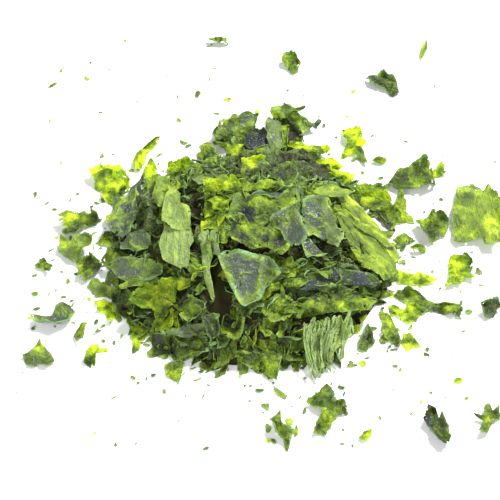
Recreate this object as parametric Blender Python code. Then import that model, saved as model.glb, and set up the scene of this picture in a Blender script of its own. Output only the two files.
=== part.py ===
"""Dried sea lettuce: a low heap of broken, crumpled flakes, with loose flakes strewn round it.

Metres, +Z up. The origin is on the surface that the heap lies on, under the middle of the heap.
+X is to the right and +Y is away from the front. Sizes in the tables are millimetres and degrees.
"""

import math
import random
from dataclasses import dataclass

import bmesh
import bpy
from mathutils import Matrix, Vector

MM = 0.001

# The heap's smooth form, on which every flake is laid
HEAP_MIDDLE = Vector((0.0, -3.0))
HEAP_HIGH = 23.0
HEAP_RIM = (42.0, 41.0, 42.0, 38.0, 38.0, 42.0, 42.0, 43.0, 42.0, 41.0, 41.0, 42.0)  # every 30 degrees
SHOULDER = 2.6  # higher numbers give a flatter top and a steeper side
SLOPE_STEP = 1.5  # the heap's slope is measured this far to each side

CORE_FOOT = 2.0  # the core is cut flat from this far below the surface it lies on

FLAKE_THICK = 0.6
CELL = 4.8  # a flake has one cell for about this much of its length
FEWEST_CELLS = 2
MOST_CELLS = 8

FILLERS = 44
FILLER_SEED = 4100
GOLDEN_ANGLE = math.radians(137.508)


@dataclass(frozen=True)
class Flake:
    """One crumpled flake: its place, its torn outline and its folds.

    at: the middle, in plan. size: length and width. turn: heading of the length from +X.
    lift: height over the heap's form. tilt: nose up and left edge up, from the heap's slope.
    folds: rows of reach, heading, angle and radius. A row creases the flake across its heading,
    at that share of its half size, and bends what lies beyond it up by the angle.
    corners: rows of angle and reach of the torn outline, or nothing for a seeded one.
    wave: how far the sheet waves up and down. seed: its own random draw.
    bow: how far its ends curve to the left. slope: the share of the heap's slope that it leans with.
    """

    at: tuple
    size: tuple
    turn: float = 0.0
    lift: float = 0.0
    tilt: tuple = (0.0, 0.0)
    folds: tuple = ()
    corners: tuple = ()
    wave: float = 0.8
    seed: int = 1
    bow: float = 0.0
    slope: float = 0.6


# Outlines that more than one flake has
BLADE = ((0, 1.0), (40, 0.85), (90, 1.0), (140, 0.9), (180, 1.0), (220, 0.9), (270, 1.0), (320, 0.85))
TONGUE = ((0, 0.95), (30, 1.0), (75, 1.0), (130, 1.05), (165, 0.95), (200, 1.0), (235, 1.1), (300, 0.95))
SLAB = ((25, 1.15), (75, 0.95), (140, 1.2), (205, 1.1), (260, 1.0), (330, 1.2))
CUP = ((10, 1.05), (60, 0.95), (115, 1.0), (165, 1.1), (230, 1.0), (285, 1.0), (330, 1.0))
HORN = ((0, 1.1), (25, 0.5), (90, 0.8), (150, 1.0), (200, 1.0), (270, 1.1), (340, 0.7))
FAN = ((0, 1.0), (40, 1.15), (90, 1.0), (140, 0.8), (180, 0.9), (220, 0.75), (270, 1.0), (320, 1.15))
FUNNEL = ((0, 0.95), (35, 0.6), (90, 0.75), (140, 1.2), (180, 0.95), (220, 1.2), (270, 0.75), (325, 0.6))
PADDLE = ((0, 1.0), (25, 1.15), (60, 1.1), (120, 0.8), (180, 1.0), (240, 0.75), (300, 1.05), (335, 1.15))
KITE = ((0, 1.15), (70, 0.95), (150, 1.05), (215, 0.9), (290, 1.0))

CROWN = {
    "mottled_sheet": Flake((3, -10), (21, 19), 2, 1.4, (0, -4),
                           ((0.75, 90, -30, 3), (0.8, 200, -30, 3)), SLAB, 0.9, 11),
    "mottled_diamond": Flake((11, -11), (13, 15), 84, 1.6, (-4, 4), ((0.6, 0, -30, 3),), KITE, 0.6, 12),
    "grey_facet": Flake((21, -5), (17, 13), -51, 1.6, (0, 4),
                        ((0.7, 250, -30, 3), (0.7, 90, -20, 3)), SLAB, 0.7, 13),
    "hanging_flap": Flake((18, -16), (10, 8), -55, 0.6, (0, -4), ((0.5, 0, 30, 2),), CUP, 0.4, 14),
    "slate_ridge": Flake((6, 0), (14, 6), 5, 1.6, (0, -10), ((0.4, 90, -40, 2),), BLADE, 0.5, 15),
    "crest_strip": Flake((8, 4), (16, 6), 8, 1.6, (0, 10), ((0.3, 90, 45, 2),), BLADE, 1.0, 16),
    "crest_crumple": Flake((16, 6), (10, 7), 24, 1.2, (0, 16),
                           ((0.3, 0, 50, 2), (0.4, 180, 40, 2)), KITE, 1.4, 17),
    "yellow_cap": Flake((-10, 4), (11, 6), 2, 1.6, (0, 14), ((0.4, 90, 40, 2),), SLAB, 1.0, 18),
    "yellow_box": Flake((-9, -2), (9, 7), -86, 1.6, (0, 0),
                        ((0.5, 90, 50, 2), (0.5, 270, 45, 2)), SLAB, 0.8, 19),
    "yellow_leaf": Flake((-11, -10), (10, 7), 69, 1.2, (0, 0), ((0.5, 0, -30, 2),), KITE, 0.7, 20),
    "yellow_spike": Flake((-7, -11), (10, 3.5), -84, 1.4, (0, 12), (), BLADE, 0.4, 21),
    "lime_cap": Flake((21, 5), (16, 6), 21, 1.8, (0, -6), ((0.4, 90, 40, 2),), BLADE, 1.0, 22),
    "teal_strip": Flake((-13, 9), (13, 5), -20, 0.9, (0, 12), ((0.3, 90, 40, 2),), BLADE, 0.6, 23),
    "dark_slab": Flake((11, 14), (25, 11), 12, 1.2, (0, 10),
                       ((0.5, 90, -25, 3), (0.7, 0, -20, 3)), BLADE, 1.0, 24),
    "far_slab": Flake((5, 20), (18, 10), 3, 1.6, (0, 22), ((0.6, 90, 30, 3),), SLAB, 0.8, 25),
    "far_sheet": Flake((16, 21), (17, 10), 2, 1.6, (0, 22), ((0.6, 90, -30, 3),), SLAB, 0.9, 26),
}

BACK = {
    "back_base": Flake((3, 41), (20, 15), -10, 1.4, (0, 6), ((0.5, 90, -20, 3),), SLAB, 0.8, 110, 0, 0),
    "stem_base": Flake((11, 49), (15, 11), -60, 1.6, (4, 6), ((0.5, 0, 20, 3),), SLAB, 0.7, 111, 0, 0),
    "crumple_base": Flake((-4, 45), (15, 12), 5, 1.4, (0, 8),
                          ((0.5, 180, 25, 3),), SLAB, 0.7, 112, 0, 0),
    "grey_crumple": Flake((-4, 47.5), (17, 13), -5, 4.2, (0, 22),
                          ((0.6, 180, 35, 2), (0.6, 30, 30, 2)), CUP, 1.6, 31, 0, 0),
    "purple_cup": Flake((2, 42), (10, 9), 25, 4.2, (0, 20),
                        ((0.3, 90, 45, 2), (0.4, 0, 45, 2)), CUP, 0.5, 33, 0, 0),
    "teal_flake": Flake((2, 38), (12, 8), 4, 3.2, (0, 12), ((0.4, 90, 30, 3),), SLAB, 0.6, 34, 0, 0),
    "lime_patch": Flake((-5, 39), (9, 8), 0, 2.8, (0, 14), (), KITE, 0.5, 47, 0, 0),
    "slate_strip": Flake((8, 45), (17, 7), -82, 3.8, (0, -12),
                         ((0.3, 90, 35, 3), (0.7, 0, -20, 3)), BLADE, 0.6, 36, 0, 0),
    "crown_stem": Flake((11.5, 46), (16, 4), -86, 3.0, (-6, 0), (), BLADE, 0.3, 37, 0, 0),
    "crown_top": Flake((13, 55), (12, 9), -31, 5.5, (0, 26),
                       ((0.3, 90, -50, 2), (0.6, 180, -30, 2)), SLAB, 0.8, 38, 0, 0),
    "crown_right": Flake((18, 51), (13, 8), -42, 4.4, (0, 22),
                         ((0.3, 90, -45, 2), (0.5, 0, -35, 2)), SLAB, 0.8, 39, 0, 0),
    "crown_left": Flake((9, 55), (7, 6), 13, 3.4, (0, 14), ((0.3, 180, 30, 2),), KITE, 0.4, 45, 0, 0),
    "lime_ridge": Flake((18.5, 38), (15, 8), -10, 2.6, (0, 12),
                        ((0.3, 90, -55, 2),), BLADE, 0.6, 40, 0, 0),
    "ridge_foot": Flake((18, 34), (14, 10), 85, 1.6, (6, 0), ((0.6, 0, -25, 3),), SLAB, 0.8, 41, 0, 0),
    "dark_hood": Flake((-13, 34.5), (13, 12), -19, 3.8, (0, 26),
                       ((0.4, 0, -55, 3), (0.4, 180, -50, 3)), CUP, 0.4, 42, 0, 0),
    "top_yellow": Flake((-22, 31), (10, 9), 0, 3.4, (0, 16), ((0.4, 90, -30, 2),), SLAB, 0.7, 43, 0, 0),
    "green_top": Flake((-25, 27), (9, 8), 90, 1.2, (0, 8), ((0.4, 0, 30, 2),), KITE, 0.6, 48),
    "back_lime": Flake((24.5, 32.5), (9, 7), 0, 2.2, (0, 14), ((0.3, 90, 30, 2),), KITE, 0.5, 44, 0, 0),
}

LEFT_SIDE = {
    "tongue_upper": Flake((-22, -1), (20, 8), 92, 2.4, (0, 4),
                          ((0.5, 0, -20, 4), (0.7, 180, -15, 4)), TONGUE, 0.3, 51),
    "tongue_lower": Flake((-21, -16), (17, 10), -88, 1.8, (0, 0), ((0.6, 0, -25, 4),), TONGUE, 0.3, 52),
    "mid_green_leaf": Flake((-25, 9), (15, 10), 76, 1.6, (0, 8), ((0.5, 90, 35, 3),), KITE, 0.6, 53),
    "navy_fold": Flake((-37, 14), (26, 12), 70, 2.2, (0, 20),
                       ((0.35, 270, 60, 1.5), (0.6, 180, -20, 3)), BLADE, 0.6, 54),
    "lime_lobe": Flake((-43, 24), (19, 14), 84, 1.8, (6, 0),
                       ((0.4, 90, 25, 4), (0.5, 270, 25, 4)), FAN, 0.9, 55, 0, 0),
    "lime_horn": Flake((-33, 37), (18, 6), 62, 2.2, (4, 8), ((0.3, 0, 20, 4),), HORN, 0.3, 56, -4, 0),
    "yellow_bud": Flake((-32, 27), (16, 9), 98, 1.2, (0, -6), ((0.4, 90, 45, 2),), KITE, 0.4, 57),
    "left_facet": Flake((-34, -6), (13, 11), 2, 1.6, (0, 8), ((0.4, 300, -35, 2),), SLAB, 0.7, 58),
    "left_knot": Flake((-40, -5), (11, 9), 13, 1.2, (0, 8),
                       ((0.4, 0, 45, 2), (0.5, 180, 30, 2)), KITE, 1.2, 59),
    "left_chip": Flake((-42, 4), (10, 7), 10, 1.0, (0, 8), ((0.4, 0, 40, 2),), KITE, 0.7, 60),
    "blue_rim_flake": Flake((-32, -17), (19, 10), -11, 1.6, (0, 8),
                            ((0.5, 90, -40, 2), (0.7, 0, 40, 2)), SLAB, 0.7, 61),
    "long_slat": Flake((-31, -22), (16, 4), -8, 1.6, (0, 16), (), BLADE, 0.5, 62),
    "lime_tangle": Flake((-25, -28), (14, 11), -16, 1.6, (0, 6),
                         ((0.5, 0, 50, 2), (0.5, 180, 45, 2)), KITE, 1.4, 63),
    "left_skirt": Flake((-42, -15), (13, 9), -19, 1.0, (0, 5), ((0.5, 90, -25, 2),), SLAB, 0.7, 64),
    "left_lace": Flake((-40, -21), (12, 9), -48, 0.9, (0, 3), ((0.4, 0, 30, 2),), KITE, 0.8, 65),
    "inner_strip": Flake((-13, -22), (25, 4), -86, 1.5, (0, 18), ((0.4, 0, -15, 4),), BLADE, 0.5, 66),
    "grey_strip": Flake((-10, -17), (11, 3), -86, 1.3, (0, 12), (), BLADE, 0.4, 67),
    "dark_wall": Flake((-29, 2), (15, 8), 82, 0.8, (0, 34), (), SLAB, 0.6, 68),
}

RIGHT_SIDE = {
    "blade_bright": Flake((35, 0), (30, 7), -51, 2.4, (0, -12), ((0.5, 90, -30, 2),), BLADE, 0.4, 71),
    "blade_pale": Flake((31, -7), (32, 12), -50, 1.8, (0, 4),
                        ((0.5, 270, -35, 3), (0.7, 0, -15, 4)), PADDLE, 0.6, 72),
    "blade_tip": Flake((40, -14), (13, 9), -70, 1.6, (0, 4), ((0.5, 0, -15, 3),), KITE, 0.6, 73),
    "right_fan": Flake((29, 28), (13, 9), -18, 1.8, (0, 16), ((0.4, 90, -35, 2),), CUP, 0.7, 74),
    "under_fan": Flake((30, 24), (13, 9), 10, 1.4, (0, 12), ((0.4, 0, -30, 2),), SLAB, 0.7, 75),
    "lime_sheet": Flake((36, 19), (15, 12), -7, 1.1, (0, 8), ((0.4, 40, 35, 3),), KITE, 1.3, 76),
    "green_ragged": Flake((44, 15), (15, 11), 66, 1.4, (8, 6),
                          ((0.4, 90, 40, 2), (0.4, 300, 45, 2)), KITE, 1.4, 77),
    "black_flap": Flake((40, 11), (15, 8), -53, 0.8, (0, 12), (), SLAB, 0.5, 78),
    "small_arch": Flake((44, 3), (11, 9), 25, 1.0, (0, 0),
                        ((0.3, 0, -40, 3), (0.4, 180, -35, 3)), KITE, 0.6, 79),
    "wide_dark_sheet": Flake((24, -22), (33, 10), 13, 1.0, (0, 6),
                             ((0.4, 90, 35, 3), (0.7, 180, -20, 4)), BLADE, 0.9, 80),
    "front_right": Flake((27, -27), (22, 9), 16, 1.2, (0, 8), ((0.4, 90, 30, 3),), SLAB, 1.1, 81),
    "right_lime": Flake((48, -12), (15, 7), -7, 1.2, (4, 8), ((0.4, 0, 15, 4),), KITE, 0.9, 82),
    "right_strip": Flake((48, -20), (25, 7), -31, 1.0, (0, 10),
                         ((0.3, 90, 30, 3), (0.5, 0, 12, 4)), BLADE, 0.9, 83),
    "right_lime_low": Flake((44, -25), (11, 7), 0, 0.8, (0, 0), ((0.4, 60, 30, 2),), KITE, 0.9, 84),
    "right_low": Flake((40, -29), (18, 7), -66, 1.0, (0, 6), ((0.4, 0, 25, 3),), BLADE, 0.8, 85),
    "dark_curl": Flake((32, -32), (12, 9), 74, 1.0, (10, 0), ((0.4, 0, 60, 2),), CUP, 0.4, 86),
}

FRONT = {
    "cup_flake": Flake((0, -28), (20, 18), -21, 2.6, (4, -2),
                       ((0.62, 25, 40, 3), (0.7, 300, 35, 3), (0.72, 180, 30, 3), (0.72, 100, 25, 3)),
                       CUP, 0.4, 91),
    "cup_prop": Flake((1, -29), (15, 9), 60, 0.9, (6, 22), ((0.5, 90, 30, 3),), SLAB, 0.6, 109),
    "curved_slip": Flake((6, -29), (10, 4), 53, 1.6, (0, 24), (), BLADE, 0.3, 92, -1.5),
    "yellow_tab": Flake((10, -23), (8, 6), 73, 1.0, (0, 0), ((0.4, 0, 30, 2),), CUP, 0.4, 93),
    "front_olive": Flake((10, -33), (11, 9), 15, 0.9, (0, 6),
                         ((0.4, 90, 45, 2), (0.4, 270, -30, 2)), KITE, 1.1, 94),
    "block_dark": Flake((11, -39), (9, 7), 5, 0.9, (0, 10), ((0.4, 90, 35, 2),), SLAB, 0.7, 95),
    "dark_cup_low": Flake((-4, -38), (11, 10), -85, 1.2, (0, 0),
                          ((0.4, 90, 45, 2), (0.4, 270, 40, 2)), CUP, 0.4, 96),
    "bottom_strip": Flake((-7, -42), (10, 4), -86, 0.9, (0, 0), (), BLADE, 0.4, 97),
    "bottom_sliver": Flake((-3, -44), (10, 3), -85, 0.7, (0, 0), (), BLADE, 0.3, 98),
    "grey_low": Flake((-1, -42), (9, 7), 0, 0.9, (0, 6), ((0.4, 90, 35, 2),), KITE, 1.0, 99),
    "olive_sheet": Flake((5, -41), (17, 6), -87, 1.0, (0, 0), ((0.4, 90, 30, 2),), SLAB, 0.8, 100),
    "low_dark": Flake((11, -42), (9, 7), 14, 0.7, (0, 0), ((0.4, 0, 35, 2),), KITE, 0.9, 101),
    "fibre_bundle": Flake((21, -38), (19, 13), -78, 1.3, (0, 0),
                          ((0.4, 90, -25, 3), (0.4, 270, -25, 3)), FUNNEL, 0.9, 102),
    "slate_slat": Flake((-18, -37), (15, 6), 2, 1.3, (0, 12), ((0.4, 90, 35, 2),), BLADE, 0.7, 103),
    "bottom_leaf": Flake((-20, -40), (20, 10), -2, 1.2, (0, 4),
                         ((0.5, 90, 30, 3), (0.7, 200, -20, 3)), SLAB, 0.9, 104),
    "bottom_yellow": Flake((-31, -34), (11, 8), 66, 1.0, (0, 4), ((0.4, 180, 25, 3),), KITE, 0.6, 105),
    "bottom_bud": Flake((-21, -43), (9, 8), 12, 0.6, (0, 0), ((0.4, 90, 40, 2),), KITE, 0.8, 106),
    "left_fold": Flake((-16, -30), (13, 8), -10, 1.2, (0, 14), ((0.4, 90, 50, 2),), KITE, 1.1, 107),
    "pit_fold": Flake((-11, -34), (10, 7), 70, 0.6, (0, 14), ((0.4, 90, 45, 2),), KITE, 0.9, 108),
}

STRAYS = {
    "top_dark": Flake((44.5, 71.5), (12.5, 9), -25, 4, (0, 6),
                      ((0.4, 90, 35, 3), (0.5, 0, -25, 3)), BLADE, 1.0, 121),
    "top_green": Flake((14, 80.5), (9, 6), -48, 4, (0, 8), ((0.3, 90, 45, 2),), KITE, 0.5, 122),
    "top_strip": Flake((-11, 92), (8.5, 3.5), 0, 4, (4, 0), ((0.2, 0, -25, 3),), BLADE, 0.4, 123),
    "top_sliver": Flake((59, 88), (9, 2.4), 74, 4, (0, 0), ((0.2, 0, 20, 3),), BLADE, 0.4, 124),
    "lime_scrap": Flake((31.5, 43.5), (14.5, 11), 60, 4, (0, 4),
                        ((0.4, 0, 40, 3), (0.3, 90, -35, 2)), HORN, 1.0, 125),
    "slate_flake": Flake((50, 27), (16, 12.5), 30, 4, (0, 6),
                         ((0.5, 90, -40, 3), (0.5, 250, -40, 3)), SLAB, 1.1, 126),
    "lime_bit": Flake((60, 31.5), (6, 4), 48, 4, (6, 0), ((0.3, 90, 30, 2),), KITE, 0.4, 127),
    "hollow_curl": Flake((55, 7.5), (10.5, 10.5), -10, 4, (0, 8),
                         ((0.4, 60, 60, 3), (0.4, 240, 55, 3)), CUP, 0.8, 128),
    "big_lime": Flake((68.5, 13), (28.5, 17.5), -84, 4, (0, 4),
                      ((0.5, 90, 35, 3), (0.6, 180, -30, 4)), SLAB, 1.2, 129),
    "green_kite": Flake((60.5, -10), (12.5, 11), -66, 4, (0, 6), ((0.3, 90, 45, 3),), KITE, 0.8, 130),
    "edge_dark": Flake((69.5, -23.5), (7, 4.5), 13, 4, (4, 0), ((0.3, 90, 40, 2),), BLADE, 0.5, 131),
    "edge_green": Flake((64.5, -60.5), (12, 6), 57, 4, (0, 0),
                        ((0.3, 90, 45, 2), (0.5, 0, -25, 3)), BLADE, 0.6, 132),
    "dark_clump": Flake((51, -63.5), (10.5, 6.5), -66, 4, (0, 6),
                        ((0.3, 0, 55, 2), (0.3, 180, 50, 2)), KITE, 1.0, 133),
    "low_long": Flake((21.5, -56), (12, 5.5), -25, 4, (0, 6), ((0.3, 90, 50, 2),), BLADE, 0.8, 134),
    "low_leaf": Flake((19.5, -62.5), (8.5, 5.5), 48, 4, (4, 0), ((0.3, 90, 40, 2),), KITE, 0.6, 135),
    "low_cluster": Flake((8.5, -65), (11.5, 5.5), -57, 4, (0, 4),
                         ((0.3, 90, 45, 2), (0.3, 270, 30, 2)), KITE, 1.0, 136),
    "bean_curl": Flake((-56.5, -26.5), (13, 8.5), 7, 4, (0, 0),
                       ((0.3, 90, 60, 2), (0.3, 270, 50, 2)), BLADE, 0.8, 137),
    "kite_left": Flake((-59.5, -39.5), (9.5, 8.5), -13, 4, (0, 4), ((0.3, 60, 40, 3),), KITE, 0.7, 138),
    "bud_left": Flake((-48, -32.5), (4.5, 4.5), -37, 4, (6, 0), ((0.3, 0, 30, 2),), KITE, 0.4, 139),
    "bud_low": Flake((-44, -40), (7.5, 3), 74, 4, (0, 0), ((0.3, 90, 45, 2),), BLADE, 0.4, 140),
    "bit_left": Flake((-61, -7), (7.5, 4.5), -37, 4, (0, 4), ((0.3, 0, 40, 2),), KITE, 0.5, 141),
    "small_right": Flake((50.5, -1), (5.5, 2.5), 10, 4, (0, 0), ((0.3, 90, 45, 2),), KITE, 0.5, 142),
    "lime_dash": Flake((41, 36), (6, 2.5), 0, 4, (6, 0), ((0.2, 0, -20, 2),), BLADE, 0.3, 143),
    "green_dash": Flake((35, 38), (7, 2.5), -62, 4, (4, 0), ((0.2, 0, 25, 2),), BLADE, 0.3, 144),
    "left_island": Flake((-51, 9.5), (12, 10), 13, 4, (0, 4),
                         ((0.3, 0, 50, 2), (0.4, 180, 35, 2)), KITE, 0.9, 145),
    "left_island_low": Flake((-53, -0.5), (9.5, 10), -13, 4, (0, 4),
                             ((0.3, 0, 50, 2), (0.4, 90, 35, 2)), KITE, 0.9, 146),
    "left_crumb": Flake((-49.5, -9), (6.5, 9), 25, 4, (0, 4),
                        ((0.3, 0, 50, 2), (0.3, 180, 40, 2)), KITE, 0.9, 148),
    "low_chip": Flake((31, -66), (4, 3), 37, 4, (6, 0), (), KITE, 0.3, 147),
}
LIME_STRAYS = ("lime_scrap", "lime_bit", "big_lime", "green_kite", "kite_left", "lime_dash", "left_island")


def rim(angle):
    """Radius of the heap's rim in a direction, smooth from one named radius to the next."""
    place = (angle % math.tau) / math.tau * len(HEAP_RIM)
    first = int(place) % len(HEAP_RIM)
    share = (1.0 - math.cos(math.pi * (place - int(place)))) / 2.0
    return HEAP_RIM[first] * (1.0 - share) + HEAP_RIM[(first + 1) % len(HEAP_RIM)] * share


def heap_height(x, y):
    """Height of the heap's smooth form over a point in plan."""
    away = Vector((x, y)) - HEAP_MIDDLE
    share = away.length / rim(math.atan2(away.y, away.x))
    return HEAP_HIGH * max(0.0, 1.0 - share ** SHOULDER)


def heap_normal(x, y):
    """Direction straight out of the heap's smooth form."""
    along_x = heap_height(x + SLOPE_STEP, y) - heap_height(x - SLOPE_STEP, y)
    along_y = heap_height(x, y + SLOPE_STEP) - heap_height(x, y - SLOPE_STEP)
    return Vector((-along_x, -along_y, 2.0 * SLOPE_STEP)).normalized()


def seeded_corners(draw):
    """A torn outline of five to seven uneven corners."""
    count = draw.randint(5, 7)
    start = draw.uniform(0.0, 360.0)
    return tuple((start + (i + draw.uniform(-0.3, 0.3)) * 360.0 / count, draw.uniform(0.8, 1.2))
                 for i in range(count))


def outline_reach(corners, angle):
    """How far the torn outline reaches from the middle in a direction, straight between corners."""
    ring = sorted((math.radians(turn) % math.tau, reach) for turn, reach in corners)
    ring = [(ring[-1][0] - math.tau, ring[-1][1])] + ring + [(ring[0][0] + math.tau, ring[0][1])]
    angle %= math.tau
    for (turn_a, reach_a), (turn_b, reach_b) in zip(ring, ring[1:]):
        if turn_a <= angle <= turn_b:
            across = reach_a * math.sin(angle - turn_a) + reach_b * math.sin(turn_b - angle)
            return reach_a * reach_b * math.sin(turn_b - turn_a) / across
    return 1.0


def folded(point, half, fold):
    """A point of the sheet after the sheet beyond a crease is bent up round a small cylinder."""
    reach, heading, angle, radius = fold
    heading = math.radians(heading)
    way = Vector((math.cos(heading), math.sin(heading)))
    crease = reach / math.hypot(way.x / half.x, way.y / half.y)
    beyond = way.x * point.x + way.y * point.y - crease
    if beyond <= 0.0:
        return point
    side = math.copysign(1.0, angle)
    bend = min(beyond / radius, abs(math.radians(angle)))
    rest = beyond - bend * radius
    high = point.z * side
    run = (radius - high) * math.sin(bend) + rest * math.cos(bend)
    rise = radius - (radius - high) * math.cos(bend) + rest * math.sin(bend)
    shift = run - beyond
    return Vector((point.x + way.x * shift, point.y + way.y * shift, rise * side))


def sheet_point(flake, corners, waves, u, v):
    """A point of the flake's middle surface, from its square grid, in the flake's own frame."""
    half = Vector(flake.size) / 2.0
    disc = Vector((u * math.sqrt(1.0 - v * v / 2.0), v * math.sqrt(1.0 - u * u / 2.0)))
    reach = outline_reach(corners, math.atan2(disc.y, disc.x))
    x = disc.x * reach * half.x
    y = disc.y * reach * half.y
    y += flake.bow * ((x / half.x) ** 2 - 0.4)
    swell = sum(math.sin(x * along + y * across + phase) for along, across, phase in waves)
    point = Vector((x, y, flake.wave * swell / len(waves) * (0.4 + disc.length)))
    for fold in flake.folds:
        point = folded(point, half, fold)
    return point


def seeded_waves(draw):
    """Three long waves across the sheet, each with its own heading, length and phase."""
    waves = []
    for length in (22.0, 14.0, 9.0):
        heading = draw.uniform(0.0, math.tau)
        number = math.tau / (length * draw.uniform(0.8, 1.2))
        waves.append((number * math.cos(heading), number * math.sin(heading), draw.uniform(0.0, math.tau)))
    return waves


def placing(flake):
    """The flake's own frame laid on the heap: turned, tilted and square to the heap's slope."""
    x, y = flake.at
    pitch, roll = (math.radians(angle) for angle in flake.tilt)
    lean = Matrix.Rotation(roll, 4, "X") @ Matrix.Rotation(-pitch, 4, "Y")
    turned = Matrix.Rotation(math.radians(flake.turn), 4, "Z") @ lean
    upright = Vector((0.0, 0.0, 1.0))
    out = upright.lerp(heap_normal(x, y), flake.slope)
    slope = upright.rotation_difference(out).to_matrix().to_4x4()
    return Matrix.Translation((x, y, heap_height(x, y) + flake.lift)) @ slope @ turned


def cells(length):
    """How many grid cells a length of flake takes."""
    return max(FEWEST_CELLS, min(MOST_CELLS, round(length / CELL)))


def flake_object(name, flake, collection, material):
    """A flake as a thin wavy solid: a triangulated sheet with the same wall on both sides."""
    draw = random.Random(flake.seed)
    corners = flake.corners or seeded_corners(draw)
    waves = seeded_waves(draw)
    place = placing(flake)
    sheet = bmesh.new()
    bmesh.ops.create_grid(sheet, x_segments=cells(flake.size[0]), y_segments=cells(flake.size[1]), size=1.0)
    for vert in sheet.verts:
        point = place @ sheet_point(flake, corners, waves, vert.co.x, vert.co.y)
        point.z = max(point.z, FLAKE_THICK / 2.0)
        vert.co = point * MM
    bmesh.ops.triangulate(sheet, faces=sheet.faces[:], quad_method="SHORT_EDGE")
    mesh = bpy.data.meshes.new(name)
    sheet.to_mesh(mesh)
    sheet.free()
    mesh.materials.append(material)
    piece = bpy.data.objects.new(name, mesh)
    collection.objects.link(piece)
    wall = piece.modifiers.new("leaf wall", "SOLIDIFY")
    wall.thickness = FLAKE_THICK * MM
    wall.offset = 0.0
    return piece


def filler_flake(index):
    """A small flake of the heap's filling: spread evenly over the heap, the rest by its own draw."""
    draw = random.Random(FILLER_SEED + index)
    angle = index * GOLDEN_ANGLE
    share = math.sqrt((index + 0.5) / FILLERS) * 0.95
    out = share * rim(angle)
    length = draw.uniform(8.0, 14.0)
    folds = ((draw.uniform(0.2, 0.5), draw.uniform(0.0, 360.0), draw.uniform(30.0, 55.0), 2.0),
             (draw.uniform(0.2, 0.5), draw.uniform(0.0, 360.0), draw.uniform(-50.0, -30.0), 2.0))
    return Flake(at=(HEAP_MIDDLE.x + out * math.cos(angle), HEAP_MIDDLE.y + out * math.sin(angle)),
                 size=(length, length * draw.uniform(0.5, 0.8)), turn=draw.uniform(0.0, 360.0),
                 lift=draw.uniform(0.2, 1.2), tilt=(draw.uniform(-25.0, 25.0), draw.uniform(-30.0, 30.0)),
                 folds=folds, wave=draw.uniform(0.6, 1.4), seed=FILLER_SEED + index)


def core_object(material):
    """The heap's solid inside: a dome under the smooth form, closed below the floor."""
    rings, spokes = 8, 24
    mesh = bmesh.new()
    bmesh.ops.create_uvsphere(mesh, u_segments=spokes, v_segments=2 * rings, radius=1.0)
    for vert in mesh.verts:
        angle = math.atan2(vert.co.y, vert.co.x)
        share = math.hypot(vert.co.x, vert.co.y)
        x = HEAP_MIDDLE.x + share * rim(angle) * math.cos(angle)
        y = HEAP_MIDDLE.y + share * rim(angle) * math.sin(angle)
        top = heap_height(x, y)
        vert.co = Vector((x, y, top if vert.co.z > 0.01 else -CORE_FOOT)) * MM
    core_mesh = bpy.data.meshes.new("flake_heap")
    mesh.to_mesh(core_mesh)
    mesh.free()
    core_mesh.materials.append(material)
    core = bpy.data.objects.new("flake_heap", core_mesh)
    bpy.context.scene.collection.objects.link(core)
    return core


def apply_modifiers(piece):
    """Keep the piece's evaluated mesh and clear its modifiers."""
    evaluated = piece.evaluated_get(bpy.context.evaluated_depsgraph_get())
    mesh = bpy.data.meshes.new_from_object(evaluated)
    piece.modifiers.clear()
    piece.data = mesh


def join(piece, flakes):
    """One Boolean union of the piece with every flake of a collection, applied."""
    union = piece.modifiers.new("join flakes", "BOOLEAN")
    union.operation = "UNION"
    union.operand_type = "COLLECTION"
    union.collection = flakes
    union.solver = "MANIFOLD"
    apply_modifiers(piece)
    for flake in list(flakes.objects):
        bpy.data.objects.remove(flake)
    bpy.data.collections.remove(flakes)


def cut_flat(piece):
    """Cut off what lies under the floor, so that the piece stands on a flat face."""
    below = bmesh.new()
    bmesh.ops.create_cube(below, size=1.0, matrix=Matrix.Translation((0.0, 0.0, -0.5)))
    mesh = bpy.data.meshes.new("under the floor")
    below.to_mesh(mesh)
    below.free()
    cutter = bpy.data.objects.new("under the floor", mesh)
    bpy.context.scene.collection.objects.link(cutter)
    cut = piece.modifiers.new("flat foot", "BOOLEAN")
    cut.operation = "DIFFERENCE"
    cut.object = cutter
    cut.solver = "MANIFOLD"
    apply_modifiers(piece)
    bpy.data.objects.remove(cutter)


def keep_largest_body(piece):
    """Drop loose scraps and fill sealed hollows: both are bodies apart from the heap itself."""
    whole = bmesh.new()
    whole.from_mesh(piece.data)
    unseen = set(whole.faces)
    bodies = []
    while unseen:
        front = [unseen.pop()]
        body = set(front)
        while front:
            face = front.pop()
            near = {other for edge in face.edges for other in edge.link_faces} & unseen
            unseen -= near
            body |= near
            front.extend(near)
        bodies.append(body)
    largest = max(bodies, key=len)
    loose = [face for face in whole.faces if face not in largest]
    bmesh.ops.delete(whole, geom=loose, context="FACES")
    whole.to_mesh(piece.data)
    whole.free()


def leaf_material(name, colour, roughness):
    """A plain dried leaf finish."""
    material = bpy.data.materials.new(name)
    material.use_nodes = True
    shader = material.node_tree.nodes["Principled BSDF"]
    shader.inputs["Base Color"].default_value = (*colour, 1.0)
    shader.inputs["Roughness"].default_value = roughness
    return material


def make_heap(material):
    """The heap: its core with the flakes that show fused on, cut flat where it lies."""
    flakes = bpy.data.collections.new("flakes")
    bpy.context.scene.collection.children.link(flakes)
    for group in (CROWN, BACK, LEFT_SIDE, RIGHT_SIDE, FRONT):
        for name, flake in group.items():
            flake_object(name, flake, flakes, material)
    for index in range(FILLERS):
        flake_object(f"filler_{index}", filler_flake(index), flakes, material)
    heap = core_object(material)
    join(heap, flakes)
    cut_flat(heap)
    keep_largest_body(heap)


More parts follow.
